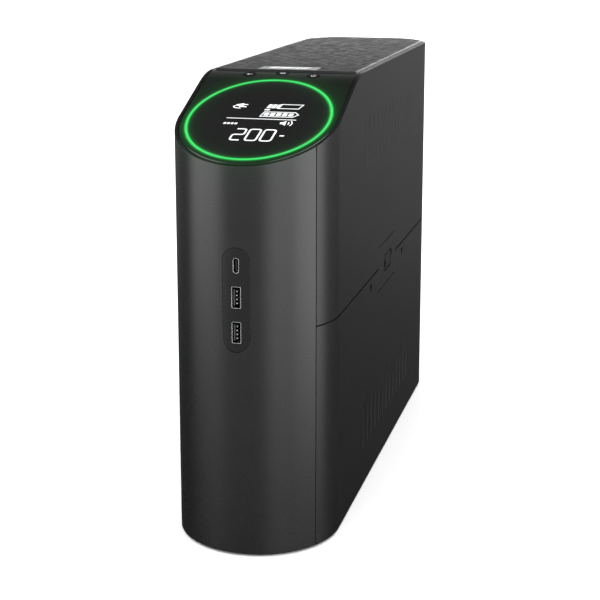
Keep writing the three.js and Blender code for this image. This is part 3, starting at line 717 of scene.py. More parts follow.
def add_spill(paint):
    """Green light from the ring on the wall just below the display."""
    axes = paint.axes()
    rise = paint.math("MULTIPLY", paint.math("SUBTRACT", axes["Y"], FRONT_Y), math.tan(SLOPE))
    below = paint.math("SUBTRACT", paint.math("ADD", rise, SLOPE_START_Z), axes["Z"])
    paint.feed(Emission_Color=GREEN, Emission_Strength=paint.fade(below, 7 * MM, 0.012))
    return paint


def ring_light(name):
    """The light guide, brightest along its middle."""
    paint = Paint(name, Emission_Color=GREEN, Roughness=0.5, Specular_IOR_Level=0.1)
    pulse = paint.noise(12 * MM, detail=1)
    away = ring_distance(paint)
    squares = paint.math("MULTIPLY", away, away)
    paint.feed(
        Base_Color=paint.blend(pulse, (0.01, 0.12, 0.03), (0.01, 0.16, 0.04)),
        Emission_Strength=paint.fade(squares, (0.95 * MM) ** 2, 0.95))
    return paint


def lit_segments(name):
    paint = Paint(name, Emission_Color=(0.93, 0.96, 0.98), Roughness=0.4)
    uneven = paint.noise(3 * MM, detail=1)
    paint.feed(
        Base_Color=paint.blend(uneven, grey(0.3), grey(0.36)),
        Emission_Strength=paint.between(uneven, 0.78, 0.9))
    return paint


CASE_COLOUR = (0.0060, 0.0061, 0.0063)
LENGTHWISE = (1, 12, 1)

MATERIALS = {
    "casing_front": add_spill(plastic("casing_satin", CASE_COLOUR, 0.27, 0.35 * MM, 0.12)),
    "casing_side": plastic("casing_matt", CASE_COLOUR, 0.30, 0.45 * MM, 0.22, 0.42),
    "top_texture": top_plastic("top_relief", (0.014, 0.0143, 0.0146), 0.36),
    "gloss_black": add_glow(
        plastic("gloss_panel", (0.004, 0.0045, 0.004), 0.12, 2 * MM, 0.02), 0.040, 9 * MM),
    "lcd": add_glow(plastic("display_glass", grey(0.006), 0.16, 2 * MM, 0.02), 0.028, 6 * MM),
    "glow_green": ring_light("ring_light"),
    "segments": lit_segments("display_segments"),
    "button_plastic": plastic("button_cap", grey(0.0018), 0.45, depth=0.1, specular=0.2),
    "icon": plastic("printed_icon", (0.58, 0.59, 0.60), 0.5, 0.2 * MM),
    "pill": plastic("port_panel", (0.0035, 0.0036, 0.0037), 0.27, depth=0.12, specular=0.41),
    "port_black": plastic("port_liner", grey(0.006), 0.5),
    "port_metal": metal("port_shell", (0.60, 0.61, 0.62), 0.3),
    "tongue": plastic("port_tongue", (0.030, 0.031, 0.032), 0.35),
    "badge_plate": metal("badge_base", (0.36, 0.365, 0.37), 0.30, LENGTHWISE),
    "badge_metal": plastic("badge_enamel", (0.60, 0.605, 0.61), 0.3, 0.3 * MM, 0.05),
    # the dark mark finish: the door arrows and lock icon, and also the painted shade laid in the seam gaps
    # and round the latch
    "mark": plastic("dark_mark_and_painted_shade", grey(0.0015), 0.7, specular=0.05),
    "rear_plastic": plastic("rear_moulding", (0.014, 0.0142, 0.0145), 0.56, depth=0.3),
    "socket_plastic": plastic("socket_moulding", (0.010, 0.010, 0.0102), 0.42, depth=0.15),
    # a darker copy of the socket moulding: painted shade at the bottom of socket, inlet and jack openings
    "socket_painted_shade": plastic("socket_well_painted_shade", grey(0.003), 0.7),
    "screw_steel": metal("screw_zinc", (0.56, 0.57, 0.58), 0.34),
    "contact_metal": metal("contact_plating", (0.80, 0.66, 0.36), 0.25),
    "insulator": plastic("coax_insulator", (0.75, 0.75, 0.72), 0.45),
    "rubber": plastic("foot_rubber", grey(0.012), 0.85, depth=0.5, specular=0.3),
    "circuit_board": plastic("board_laminate", (0.012, 0.075, 0.028), 0.38, 1.2 * MM),
    "battery_case": plastic("battery_tub", (0.016, 0.018, 0.021), 0.5, depth=0.35),
    "sleeve": plastic("strap_card", (0.62, 0.62, 0.58), 0.75, 0.8 * MM, 0.4),
    "lead_red": plastic("lead_red_pvc", (0.42, 0.018, 0.012), 0.42),
    "lead_black": plastic("lead_black_pvc", grey(0.008), 0.42),
    "core_steel": metal("core_laminate", (0.40, 0.41, 0.43), 0.42, (60, 1, 1)),
    "coil_tape": plastic("coil_wrap", (0.60, 0.36, 0.06), 0.5, 1.5 * MM),
    "copper_wire": metal("copper_turns", (0.75, 0.36, 0.18), 0.3, (1, 1, 20)),
    "heat_sink": metal("heat_sink_alloy", (0.62, 0.63, 0.64), 0.42, (1, 1, 8)),
    "capacitor_sleeve": plastic("capacitor_film", (0.015, 0.05, 0.16), 0.3),
    "fan_plastic": plastic("fan_moulding", grey(0.009), 0.45),
}

# Finishes that have no slot of their own in the record
SLOT_FOR = {
    "segments": "lcd", "pill": "button_plastic", "badge_plate": "badge_metal",
    "socket_painted_shade": "socket_plastic", "mark": "casing_side", "icon": "button_plastic",
    "tongue": "port_metal", "insulator": "port_black",
}


def adopt(obj, body, finish, *nodes):
    """Gives a piece its material, ties it to its body and hides what it stands for."""
    obj.data.materials.clear()
    obj.data.materials.append(MATERIALS[finish].material)
    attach(obj, body)
    SLOT_FOR.get(finish, finish)
    if nodes:
        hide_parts(*nodes)


# ---- Casing --------------------------------------------------------------------------

SEAM_WAY = HALF * math.asin(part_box("front_cover")[1].x / HALF)
SEAM_CLEAR = 0.25 * MM
FLAT_CLEAR = 0.55 * MM
PILL_GAP = 0.25 * MM
SIDE_SEAM = SEAM_WAY + GAP + 0.15 * MM
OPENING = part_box("panel_frame")[1].x + GAP
OPENING_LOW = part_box("panel_frame")[0].z - GAP
OPENING_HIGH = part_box("panel_frame")[1].z + GAP
DOOR_END = corner_way(49.8 * MM)
LATCH_LOW, LATCH_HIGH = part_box("door_latch")


def wall_roof(way):
    """Height of the casing wall's upper edge at a way round."""
    return np.minimum(roof(walk(way)[1])[0], RIM_Z)


def slots(hand, z):
    """The cooling slots of one row, on the right (+1) or left (-1) side."""
    loops = []
    width, height = SLOT_SIZE
    for index in range(SLOT_COUNT):
        way = side_way(SLOT_FIRST_Y + index * SLOT_PITCH)
        way = way if hand > 0 else ROUND - way
        loops.append(rectangle(width, height, (way, z), radius=width / 2, steps=4))
    return loops


def along_roof(start, end, step=2 * MM):
    count = int(abs(end - start) / step) + 1
    ways = np.linspace(start, end, count)
    return np.stack([ways, wall_roof(ways)], 1)


def rim_sizes(loop, usual, at_roof):
    """Rounding at each point of a wall loop: larger along the roof line."""
    high = loop[:, 1] > wall_roof(loop[:, 0]) - 0.01 * MM
    return np.where(high, at_roof, usual)


def wall_plate(name, loop, holes=(), usual=0.25 * MM, at_roof=0.5 * MM):
    loop = wind(densify(np.array(loop), 5 * MM), True)
    ways = wall_columns(loop[:, 0].min(), loop[:, 0].max())
    levels = np.arange(FOOT_TOP, RIM_Z, 9 * MM)
    _, rings = rounded(1.0)
    return plate(
        name, [loop, *holes], on_wall(), WALL, (rim_sizes(loop, usual, at_roof), rings),
        columns=ways, rows=levels, hole_rim=rounded(0.2 * MM, 3))


def build_front_cover():
    ways = SEAM_WAY
    top = along_roof(ways, -ways)
    loop = [(-ways, FOOT_TOP), (ways, FOOT_TOP), *map(tuple, top)]
    low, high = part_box("port_insert")
    pill = rectangle(
        high.x - low.x + PILL_GAP, high.z - low.z + PILL_GAP, (0, (low.z + high.z) / 2),
        radius=(high.x - low.x + PILL_GAP) / 2, steps=12)
    cover = wall_plate("nose_cover_shell", loop, [pill])
    adopt(cover, "casing", "casing_front", "front_cover")


def notch_points(edge_z, up):
    """The latch's cut-out in a seam edge, walked towards the rear."""
    start, end = side_way(LATCH_LOW.y) - GAP, side_way(LATCH_HIGH.y) + GAP
    z = LATCH_HIGH.z + GAP + FLAT_CLEAR if up else LATCH_LOW.z - GAP - FLAT_CLEAR
    return [(start, edge_z), (start, z), (end, z), (end, edge_z)]


def seam_edge(up):
    """A seam edge on the right side: narrow round the nose and wider along the flat."""
    near, far = (SEAM_HIGH + SEAM_CLEAR, SEAM_HIGH + FLAT_CLEAR) if up else (
        SEAM_LOW - SEAM_CLEAR, SEAM_LOW - FLAT_CLEAR)
    turn = side_way(NOSE_Y)
    return [
        (SIDE_SEAM, near), (turn - 12 * MM, near), (turn, far), *notch_points(far, up)], far


def seam_shade_strip(name, path, reach):
    """A dark strip along an edge, just under the surface, that fills the gap beside it with painted shade.
    """
    line = np.array(path, float)
    pieces = [line[:1]]
    for here, there in zip(line, line[1:]):
        count = max(1, int(np.linalg.norm(there - here) / (1.6 * MM)))
        pieces.append(here + (there - here) * (np.arange(1, count + 1) / count)[:, None])
    band = stroke(np.concatenate(pieces), 2 * reach)
    return plate(name, band, on_wall(0.14 * MM), 0.5 * MM, rounded(0.02 * MM, 2))


def build_seams():
    """Dark strips of painted shade in the seams: on the housings' edges, and on the door's own edge."""
    half_gap = (SEAM_HIGH - SEAM_LOW) / 2 + SEAM_CLEAR - 0.02 * MM
    rear = corner_way(OPENING)
    upper, low = seam_edge(True)
    upper.append((rear, low))
    left = [(ROUND - rear, SEAM_LOW), (ROUND - SIDE_SEAM, SEAM_LOW)]
    shade_strips = [seam_shade_strip("upper_seam_painted_shade", upper, half_gap), seam_shade_strip("left_seam_painted_shade", left, 0.35 * MM)]
    for hand in (1, -1):
        way = hand * (SEAM_WAY + 0.02 * MM)
        top = float(wall_roof(way)) - 0.4 * MM
        shade_strips.append(seam_shade_strip(f"nose_seam_painted_shade_{hand}", [(way, FOOT_TOP), (way, top)], 0.38 * MM))
    # near-black painted shade that makes the seam gaps read dark
    adopt(merge("seam_painted_shade", shade_strips), "casing", "mark")
    door, high = seam_edge(False)
    door.append((DOOR_END, high))
    # the door's own strip of painted shade along its seam edge
    adopt(seam_shade_strip("door_seam_painted_shade", door, half_gap), "door", "mark")


def build_upper_housing():
    start, end = SIDE_SEAM, ROUND - SIDE_SEAM
    open_start, open_end = corner_way(OPENING), ROUND - corner_way(OPENING)
    edge, far = seam_edge(True)
    low = SEAM_HIGH + SEAM_CLEAR
    loop = [
        *edge, (open_start, far), (open_start, OPENING_HIGH),
        (open_end, OPENING_HIGH), (open_end, low), (end, low),
        *map(tuple, along_roof(end, start)),
    ]
    holes = slots(1, SLOT_ROWS_Z[1]) + slots(-1, SLOT_ROWS_Z[1])
    shell = wall_plate("upper_shell", loop, holes)
    adopt(shell, "casing", "casing_side", "upper_housing")


def build_lower_housing():
    start, end = DOOR_END + GAP, ROUND - SIDE_SEAM
    open_start, open_end = corner_way(OPENING), ROUND - corner_way(OPENING)
    loop = [
        (start, FOOT_TOP), (end, FOOT_TOP), (end, SEAM_LOW), (open_end, SEAM_LOW),
        (open_end, OPENING_LOW), (open_start, OPENING_LOW), (open_start, SEAM_LOW),
        (start, SEAM_LOW),
    ]
    shell = wall_plate("lower_shell", loop, slots(-1, SLOT_ROWS_Z[0]))
    adopt(shell, "casing", "casing_side", "lower_housing")


def build_battery_door():
    start, end = SIDE_SEAM, DOOR_END
    edge, high = seam_edge(False)
    loop = [(start, FOOT_TOP), (end, FOOT_TOP), (end, high), *edge[::-1]]
    door = wall_plate("battery_door_shell", loop, slots(1, SLOT_ROWS_Z[0]))
    adopt(door, "door", "casing_side", "battery_door")
    arrows = []
    for index, y in enumerate((-49.7 * MM, 72.9 * MM)):
        way = side_way(y)
        mark = [(way - 3.9 * MM, 146.2 * MM), (way, 140.2 * MM), (way + 3.9 * MM, 146.2 * MM)]
        arrows.append(plate(
            f"door_arrow_{index}", [np.array(mark)], on_wall(-0.06 * MM), 0.1 * MM,
            rounded(0.03 * MM, 2)))
    adopt(merge("door_arrow_marks", arrows), "door", "mark")


def bowed_box(middle, width, height, bow):
    """A box whose left and right sides bulge outwards."""
    steps = np.linspace(-1, 1, 9)
    right = [(middle[0] + width - bow * t * t, middle[1] + height * t) for t in steps]
    left = [(middle[0] - width + bow * t * t, middle[1] - height * t) for t in steps]
    return np.array(right + left)


def build_latch():
    low, high = LATCH_LOW, LATCH_HIGH
    height = (low.z + high.z) / 2
    tab_middle = ((side_way(low.y) + side_way(high.y)) / 2, height)
    outline = rectangle(high.y - low.y, high.z - low.z, tab_middle, radius=1.2 * MM)
    middle = (side_way(13.5 * MM), height)
    face = plate(
        "latch_face",
        [densify(outline, 4 * MM), densify(bowed_box(middle, 16 * MM, 6.6 * MM, 2.4 * MM), 3 * MM)],
        on_wall(), WALL, rounded(0.3 * MM), hole_rim=rounded(0.25 * MM, 3))
    pad = plate(
        "latch_pad", [densify(bowed_box(middle, 15.2 * MM, 5.7 * MM, 2.3 * MM), 3 * MM)],
        on_wall(0.45 * MM), 1.6 * MM, rounded(0.3 * MM, 3))
    ridges = []
    for k in range(-1, 2):
        spot = (middle[0] + 6 * MM, middle[1] + k * 2.6 * MM)
        ridges.append(plate(
            f"latch_ridge_{k}", [rectangle(9 * MM, 0.9 * MM, spot, 0.4 * MM)],
            on_wall(0.15 * MM), 0.4 * MM, rounded(0.2 * MM, 3)))
    adopt(merge("latch_tab", [face, pad, *ridges]), "latch", "casing_side", "door_latch")
    # A near-black ring under the surface round the pad: painted shade in the gap of the latch's recess.
    latch_shade_ring = plate(
        "latch_painted_shade_ring",
        [densify(bowed_box(middle, 16.2 * MM, 6.8 * MM, 2.4 * MM), 3 * MM),
         densify(bowed_box(middle, 15.0 * MM, 5.5 * MM, 2.3 * MM), 3 * MM)],
        on_wall(0.3 * MM), 0.5 * MM, rounded(0.02 * MM, 2))
    adopt(latch_shade_ring, "latch", "mark")
    lock = (middle[0] - 9 * MM, middle[1])
    shackle = arc_band(2.0, 0.9, 0, 180, (0, 1.2))
    parts = []
    for index, loop in enumerate([
            rectangle(6.2 * MM, 4.4 * MM, (lock[0], lock[1] - 1.2 * MM), 0.5 * MM),
            polygon(shackle, middle=lock)]):
        parts.append(plate(
            f"lock_{index}", [loop], on_wall(0.4 * MM), 0.15 * MM, rounded(0.04 * MM, 2)))
    adopt(merge("latch_lock_icon", parts), "latch", "mark")


def relief(x, y):
    """Height of the low faceted pattern moulded into the top cover."""
    pitch, depth = 13 * MM, 0.42 * MM
    wave = 1.2 * MM * np.sin(y / (9 * MM))
    u = (x + wave + 0.75 * y) / pitch
    v = (x - wave - 0.75 * y) / pitch
    facet = np.maximum(np.abs(2 * (u % 1) - 1), np.abs(2 * (v % 1) - 1))
    ripple = np.sin(2 * math.pi * (0.35 * x + y) / (4.6 * MM))
    return depth * facet + 0.06 * MM * ripple


def plan_loop(inset, front_y):
    """The plan behind a straight front edge, moved in from the outside."""
    ways = np.arange(side_way(CORNER_Y), ROUND - side_way(CORNER_Y), 1.5 * MM)
    x, y, nx, ny = walk(ways)
    rear = np.stack([x - nx * inset, y - ny * inset], 1)
    half = HALF - inset
    return np.concatenate([[(-half, front_y), (half, front_y)], rear])


# Raised bars on the badge, in place of a name: left end and length, in millimetres
BADGE_BARS = [(-14.5, 4.5), (-8.5, 10.0), (3.0, 3.5), (8.0, 4.5)]


def build_top_cover():
    inset = HALF - TOP_HIGH.x
    top_z = TOP_HIGH.z
    outline = plan_loop(inset, TOP_LOW.y)
    badge_low, badge_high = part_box("top_badge")
    badge = rectangle(
        badge_high.x - badge_low.x + 2 * GAP, badge_high.y - badge_low.y + 2 * GAP,
        (0, (badge_low.y + badge_high.y) / 2), radius=0.8 * MM)
    half, back = HALF - inset, outline[:, 1].max()
    front = outline[:, 1].min()
    border = TOP_BORDER

    def place(u, v, depth):
        u, v, depth = np.broadcast_arrays(*(np.asarray(q, float) for q in (u, v, depth)))
        edge = np.minimum(half - np.abs(u), np.minimum(v - front, back - v))
        fade = np.clip((edge - border) / (1.2 * MM), 0, 1)
        lift = (relief(u, v) - 0.35 * MM) * fade * (depth < 0.2 * MM)
        lift = lift - 0.05 * np.clip(border - (half - np.abs(u)), 0, border)
        return np.stack([u, v, top_z - depth + lift], -1)

    cover = plate(
        "top_cover_panel", [densify(outline, 2 * MM), densify(badge, 2 * MM)], place, 3.4 * MM,
        chamfered(1.0 * MM), columns=np.arange(-half, half, 1.1 * MM),
        rows=np.arange(front, back, 1.1 * MM), hole_rim=rounded(0.15 * MM, 2))
    adopt(cover, "casing", "top_texture", "top_cover")
    floor = bevelled_box(
        "top_badge_seat", (badge_low.x - 1 * MM, badge_low.y - 1 * MM, top_z - 3.2 * MM),
        (badge_high.x + 1 * MM, badge_high.y + 1 * MM, badge_low.z - 0.02 * MM), 0.2 * MM)
    adopt(floor, "casing", "top_texture")
    middle = (0, (badge_low.y + badge_high.y) / 2)
    size = (badge_high.x - badge_low.x, badge_high.y - badge_low.y)
    plate_obj = plate(
        "top_badge_plate", [densify(rectangle(*size, middle, radius=0.7 * MM), 2 * MM)],
        facing_up(badge_high.z), badge_high.z - badge_low.z, rounded(0.15 * MM, 3))
    adopt(plate_obj, "casing", "badge_plate", "top_badge")
    bars = []
    for index, (left, width) in enumerate(BADGE_BARS):
        corners = polygon([(left, -4.6), (left + width, -4.6), (left + width + 2, 4.6), (left + 2, 4.6)],
                          middle=middle)
        bars.append(plate(
            f"badge_bar_{index}", [corners], facing_up(badge_high.z + 0.22 * MM), 0.25 * MM,
            rounded(0.1 * MM, 3)))
    adopt(merge("top_badge_bars", bars), "casing", "badge_metal")


def build_casing():
    build_front_cover()
    build_upper_housing()
    build_lower_housing()
    build_battery_door()
    build_seams()
    build_latch()
    build_top_cover()


# ---- Display end ---------------------------------------------------------------------

BUTTON_NODES = ("mute_button", "menu_button", "power_button")
BUTTON_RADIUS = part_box("menu_button")[1].x


def button_spot(node):
    """Middle of a button on the roof line in plan."""
    low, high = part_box(node)
    y = {"mute_button": -95 * MM, "menu_button": -91 * MM, "power_button": -95 * MM}[node]
    return (low.x + high.x) / 2, y


def roof_rows(low, high):
    rows, y = [], low
    while y < high:
        rows.append(y)
        y += 1.2 * MM if y > ROLL_START_Y - 3 * MM else 8 * MM
    return rows


def build_display():
    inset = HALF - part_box("display_bezel")[1].x
    half = HALF - inset
    turn = np.linspace(math.pi, 2 * math.pi, 90)
    nose = np.stack([half * np.cos(turn), NOSE_Y + half * np.sin(turn)], 1)
    outline = np.concatenate([nose, [(half, BEZEL_END_Y), (-half, BEZEL_END_Y)]])
    holes = [ellipse(RING_OUTER + GAP, middle=(0, NOSE_Y), sides=160)]
    for node in BUTTON_NODES:
        x, y = button_spot(node)
        tilt = float(roof(y)[1])
        radius = BUTTON_RADIUS + GAP
        holes.append(ellipse(radius, radius * math.cos(tilt), (x, y), 40))
    thick = 2.6 * MM
    bezel = plate(
        "display_bezel_panel", [densify(outline, 2 * MM), *holes], on_roof(), thick,
        rounded(1.2 * MM, 7), rows=roof_rows(FRONT_Y, BEZEL_END_Y), hole_rim=rounded(0.2 * MM, 3))
    adopt(bezel, "casing", "gloss_black", "display_bezel")
    ring = plate(
        "light_ring_guide",
        [ellipse(RING_OUTER, middle=(0, NOSE_Y), sides=192),
         ellipse(RING_INNER, middle=(0, NOSE_Y), sides=192)],
        on_roof(), 4.8 * MM, rounded(0.3 * MM, 4), rows=roof_rows(FRONT_Y, BEZEL_END_Y))
    adopt(ring, "casing", "glow_green", "light_ring")
    window = plate(
        "display_window_glass", [ellipse(RING_INNER - GAP, middle=(0, NOSE_Y), sides=160)],
        on_roof(), thick, rounded(0.25 * MM, 4), rows=roof_rows(FRONT_Y, BEZEL_END_Y))
    adopt(window, "casing", "lcd", "display_window")
    for node in BUTTON_NODES:
        build_button(node)
    build_graphics()


def build_button(node):
    x, y = button_spot(node)
    z, tilt = roof(y)
    r = BUTTON_RADIUS
    proud = 0.2 * MM
    profile = [
        (0, -4.4 * MM), (r - 0.3 * MM, -4.4 * MM), (r, -4.1 * MM), (r, proud - 0.45 * MM),
        (r - 0.12 * MM, proud - 0.18 * MM), (r - 0.45 * MM, proud), (r - 1.0 * MM, proud),
        (r - 1.6 * MM, proud - 0.12 * MM), (r * 0.3, proud - 0.2 * MM), (0, proud - 0.2 * MM)]
    matrix = Matrix.Translation((x, y, float(z))) @ Matrix.Rotation(float(tilt), 4, "X")
    cap = lathe(f"{node}_cap", profile, matrix)
    body = node.split("_")[0]
    adopt(cap, body, "button_plastic", node)
    pieces = []
    for index, loops in enumerate(BUTTON_ICONS[node]):
        flat = plate(
            f"{node}_mark_{index}", [polygon(loop) for loop in loops],
            facing_up(proud - 0.08 * MM), 0.05 * MM, rounded(0.015 * MM, 2))
        flat.data.transform(matrix)
        pieces.append(flat)
    adopt(merge(f"{node}_icon", pieces), body, "icon")


def arc_band(radius, width, start, end, middle=(0, 0), steps=14):
    """A curved stroke, in millimetres."""
    angles = np.radians(np.linspace(start, end, steps))
    way = np.stack([np.cos(angles), np.sin(angles)], 1)
    outer, inner = (np.array(middle) + (radius + side * width / 2) * way for side in (1, -1))
    return np.concatenate([outer, inner[::-1]])


SPEAKER = [(-1.9, -0.6), (-1.1, -0.6), (-0.2, -1.4), (-0.2, 1.4), (-1.1, 0.6), (-1.9, 0.6)]
CROSS = [(0.6, -0.9), (0.9, -0.6), (1.9, 0.9), (1.6, 1.1), (0.7, -0.2)]
BUTTON_ICONS = {
    "mute_button": [[SPEAKER], [CROSS]],
    "menu_button": [
        [[(-1.9, 0.8), (1.9, 0.8), (1.9, 1.25), (-1.9, 1.25)]],
        [[(-1.9, -0.2), (1.9, -0.2), (1.9, 0.25), (-1.9, 0.25)]],
        [[(-1.9, -1.2), (1.9, -1.2), (1.9, -0.75), (-1.9, -0.75)]]],
    "power_button": [
        [arc_band(1.55, 0.5, 130, 410)],
        [[(-0.25, 0.4), (0.25, 0.4), (0.25, 2.1), (-0.25, 2.1)]]],
}


# ---- Display graphics ----------------------------------------------------------------
# Drawn in millimetres: x across, and the distance up the slope from its lowest point.


def stroke(path, width, closed=False):
    """Loops of a line drawn with a flat pen along a path."""
    path = np.array(path, float)
    if closed:
        mitre = left_of(path)[0]
        return [path + mitre * width / 2, path - mitre * width / 2]
    steps = np.diff(path, axis=0)
    steps /= np.linalg.norm(steps, axis=1, keepdims=True)
    before = np.concatenate([steps[:1], steps])
    after = np.concatenate([steps, steps[-1:]])
    side = np.stack([-before[:, 1] - after[:, 1], before[:, 0] + after[:, 0]], 1)
    side /= np.maximum(1 + np.sum(before * after, 1, keepdims=True), 0.5)
    return [np.concatenate([path + side * width / 2, (path - side * width / 2)[::-1]])]


def round_corners(path, radius, closed=False, steps=3):
    """Cuts each corner of a path with a short curve."""
    path = [np.array(p, float) for p in path]
    count = len(path)
    rounded_path = []
    for k, corner in enumerate(path):
        if not closed and k in (0, count - 1):
            rounded_path.append(corner)
            continue
        before, after = path[k - 1] - corner, path[(k + 1) % count] - corner
        start = corner + before / np.linalg.norm(before) * radius
        end = corner + after / np.linalg.norm(after) * radius
        for t in np.linspace(0, 1, steps + 1):
            rounded_path.append((1 - t) ** 2 * start + 2 * t * (1 - t) * corner + t * t * end)
    return np.array(rounded_path)


def lean_over(loops, left, bottom, lean):
    """Moves glyph loops to their place and slants them."""
    return [np.array([(left + x + lean * y, bottom + y) for x, y in loop]) for loop in loops]


def number(text, left, bottom):
    """Slanted digits of a plain display typeface."""
    width, height, pitch, pen, lean = 7.3, 13.8, 9.8, 1.2, 0.07
    paths = {
        "2": ([(0.9, height), (width, height), (width, height / 2), (0, height / 2), (0, 0),
               (width - 0.9, 0)], False),
        "0": ([(0, 0), (width, 0), (width, height), (0, height)], True),
    }
    glyphs = []
    for index, digit in enumerate(text):
        path, closed = paths[digit]
        loops = stroke(round_corners(path, 2.0, closed), pen, closed)
        glyphs.append(lean_over(loops, left + index * pitch, bottom, lean))
    return glyphs


def cells(count, left, pitch, width, low, high, lean):
    """A row of filled slanted cells."""
    rows = []
    for k in range(count):
        x = left + k * pitch
        rows.append([np.array([
            (x, low), (x + width, low), (x + width + lean, high), (x + lean, high)])])
    return rows


def display_shapes():
    shapes = number("200", -12.2, 30.6)
    shapes.append([[(19.0, 36.9), (22.0, 36.9), (22.2, 38.2), (19.2, 38.2)]])
    shapes.append([[(-21.4, 57.3), (25.2, 57.3), (25.2, 58.0), (-21.4, 58.0)]])
    # Load bar, with its filled part cut into three, and a flag between it and the battery
    shapes.append(stroke([(9.5, 71.8), (23.3, 71.8), (25.6, 77.2), (10.9, 77.2)], 0.7, True))
    shapes += cells(3, 1.6, 3.1, 2.5, 72.0, 76.8, 1.2)
    shapes += cells(1, 0.9, 3.0, 3.4, 68.9, 70.6, 0.5)
    # Battery bar of five cells with a pointed end
    shapes.append(stroke(
        [(0.2, 61.0), (21.8, 61.0), (25.2, 64.2), (22.6, 67.0), (1.9, 67.0)], 0.7, True))
    shapes += cells(5, 2.0, 4.1, 3.1, 62.2, 65.8, 0.5)
    # Plug on its lead
    shapes.append([[(-19.6, 75.2), (-17.4, 76.2), (-14.9, 77.2), (-14.3, 76.0), (-11.6, 76.2),
                    (-11.6, 75.2), (-14.2, 74.9), (-14.6, 73.5), (-12.0, 73.1), (-12.2, 72.1),
                    (-15.2, 72.4), (-16.6, 71.7), (-17.6, 73.6), (-19.6, 74.0)]])
    shapes.append(stroke(
        [(-19.8, 73.9), (-20.8, 73.0), (-20.6, 71.8), (-19.0, 71.0), (-15.6, 70.6)], 0.9))
    # Caption bars in place of a word
    shapes += cells(4, -21.8, 2.5, 1.7, 49.9, 51.9, 0.4)
    # Speaker with two waves
    shapes.append(
        [[(15.6, 52.0), (17.3, 52.0), (19.4, 50.2), (19.4, 56.2), (17.3, 54.4), (15.6, 54.4)]])
    shapes += [[arc_band(radius, 0.8, -42, 42, (19.2, 53.2))] for radius in (2.2, 4.3)]
    return shapes


def build_graphics():
    lean = math.cos(SLOPE)
    pieces = []
    for index, loops in enumerate(display_shapes()):
        flat = []
        for loop in loops:
            loop = np.array(loop, float) * MM
            loop[:, 1] = FRONT_Y + loop[:, 1] * lean
            flat.append(loop)
        pieces.append(plate(
            f"segment_{index}", flat, on_roof(-0.06 * MM), 0.05 * MM, rounded(0.01 * MM, 2)))
    adopt(merge("display_graphics", pieces), "casing", "segments")


# ---- Charging ports ------------------------------------------------------------------


def build_ports():
    low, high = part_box("port_insert")
    middle = (0, (low.z + high.z) / 2)
    width, height = high.x - low.x, high.z - low.z
    holes, nodes = [], ("usb_c_port", "usb_a_port_upper", "usb_a_port_lower")
    for node in nodes:
        a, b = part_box(node)
        radius = 1.9 * MM if node == "usb_c_port" else 0.9 * MM
        holes.append(rectangle(
            b.x - a.x + GAP, b.z - a.z + GAP, ((a.x + b.x) / 2, (a.z + b.z) / 2), radius, 6))
    insert = plate(
        "port_panel_pill",
        [densify(rectangle(width, height, middle, width / 2, 12), 2 * MM), *holes],
        on_wall(0.12 * MM), 4.8 * MM, rounded(0.22 * MM, 4),
        columns=np.arange(-width / 2, width / 2, 1.2 * MM), rows=np.arange(low.z, high.z, 3 * MM),
        hole_rim=rounded(0.12 * MM, 2))
    adopt(insert, "casing", "pill", "port_insert")
    for node in nodes:
        build_receptacle(node, node == "usb_c_port")


def build_receptacle(node, oval):
    a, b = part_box(node)
    middle = ((a.x + b.x) / 2, (a.z + b.z) / 2)
    width, height = b.x - a.x, b.z - a.z
    rim = 0.5 * MM
    radius = 1.85 * MM if oval else 0.95 * MM
    mouth = a.y - 0.15 * MM
    depth = b.y - a.y
    shell = plate(
        f"{node}_shell",
        [rectangle(width, height, middle, radius, 6),
         rectangle(width - 2 * rim, height - 2 * rim, middle, radius - rim * 0.75, 6)],
        facing_front(mouth), depth, rounded(0.14 * MM, 3))
    adopt(shell, "casing", "port_metal", node)
    inner_w, inner_h = width - 2 * rim, height - 2 * rim
    back = plate(
        f"{node}_liner", [rectangle(inner_w + 0.4 * MM, inner_h + 0.4 * MM, middle, 0.3 * MM)],
        facing_front(mouth + depth - 3 * MM), 1 * MM, rounded(0.1 * MM, 2))
    adopt(back, "casing", "port_black")
    if oval:
        tongue = bevelled_box(
            f"{node}_tongue",
            (middle[0] - 0.4 * MM, mouth + 1.0 * MM, middle[1] - inner_h / 2 + 0.8 * MM),
            (middle[0] + 0.4 * MM, mouth + depth - 3 * MM, middle[1] + inner_h / 2 - 0.8 * MM),
            0.15 * MM)
        adopt(tongue, "casing", "socket_plastic")
        return
    x = middle[0] - inner_w / 2 + 1.15 * MM
    tongue = bevelled_box(
        f"{node}_tongue",
        (x - 0.35 * MM, mouth + 0.6 * MM, middle[1] - inner_h / 2 + 1.2 * MM),
        (x + 0.6 * MM, mouth + depth - 3 * MM, middle[1] + inner_h / 2 - 1.2 * MM), 0.3 * MM)
    adopt(tongue, "casing", "tongue")
    contacts = []
    for k in range(4):
        z = middle[1] + (k - 1.5) * 2.6 * MM
        contacts.append(bevelled_box(
            f"{node}_contact_{k}",
            (x + 1.5 * MM, mouth + 0.7 * MM, z - 0.55 * MM),
            (x + 2.3 * MM, mouth + depth - 3.2 * MM, z + 0.55 * MM), 0.2 * MM))
    adopt(merge(f"{node}_contacts", contacts), "casing", "port_metal")


# ---- Rear panel ----------------------------------------------------------------------

PANEL_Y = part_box("socket_plate")[1].y
SCREWS = [f"panel_screw_{number}" for number in range(1, 5)]


def node_loop(node, grow=0.0, radius=0.0, steps=5):
    """A node's rectangle as seen from behind, in (-x, z)."""
    a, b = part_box(node)
    return rectangle(
        b.x - a.x + 2 * grow, b.z - a.z + 2 * grow, (-(a.x + b.x) / 2, (a.z + b.z) / 2),
        radius, steps)


def middle_of(node):
    a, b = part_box(node)
    return (a + b) / 2


def round_loop(node, radius, sides=36):
    spot = middle_of(node)
    return ellipse(radius, middle=(-spot.x, spot.z), sides=sides)


def screw_loops(*nodes):
    return [round_loop(node, 1.8 * MM, 20) for node in nodes]


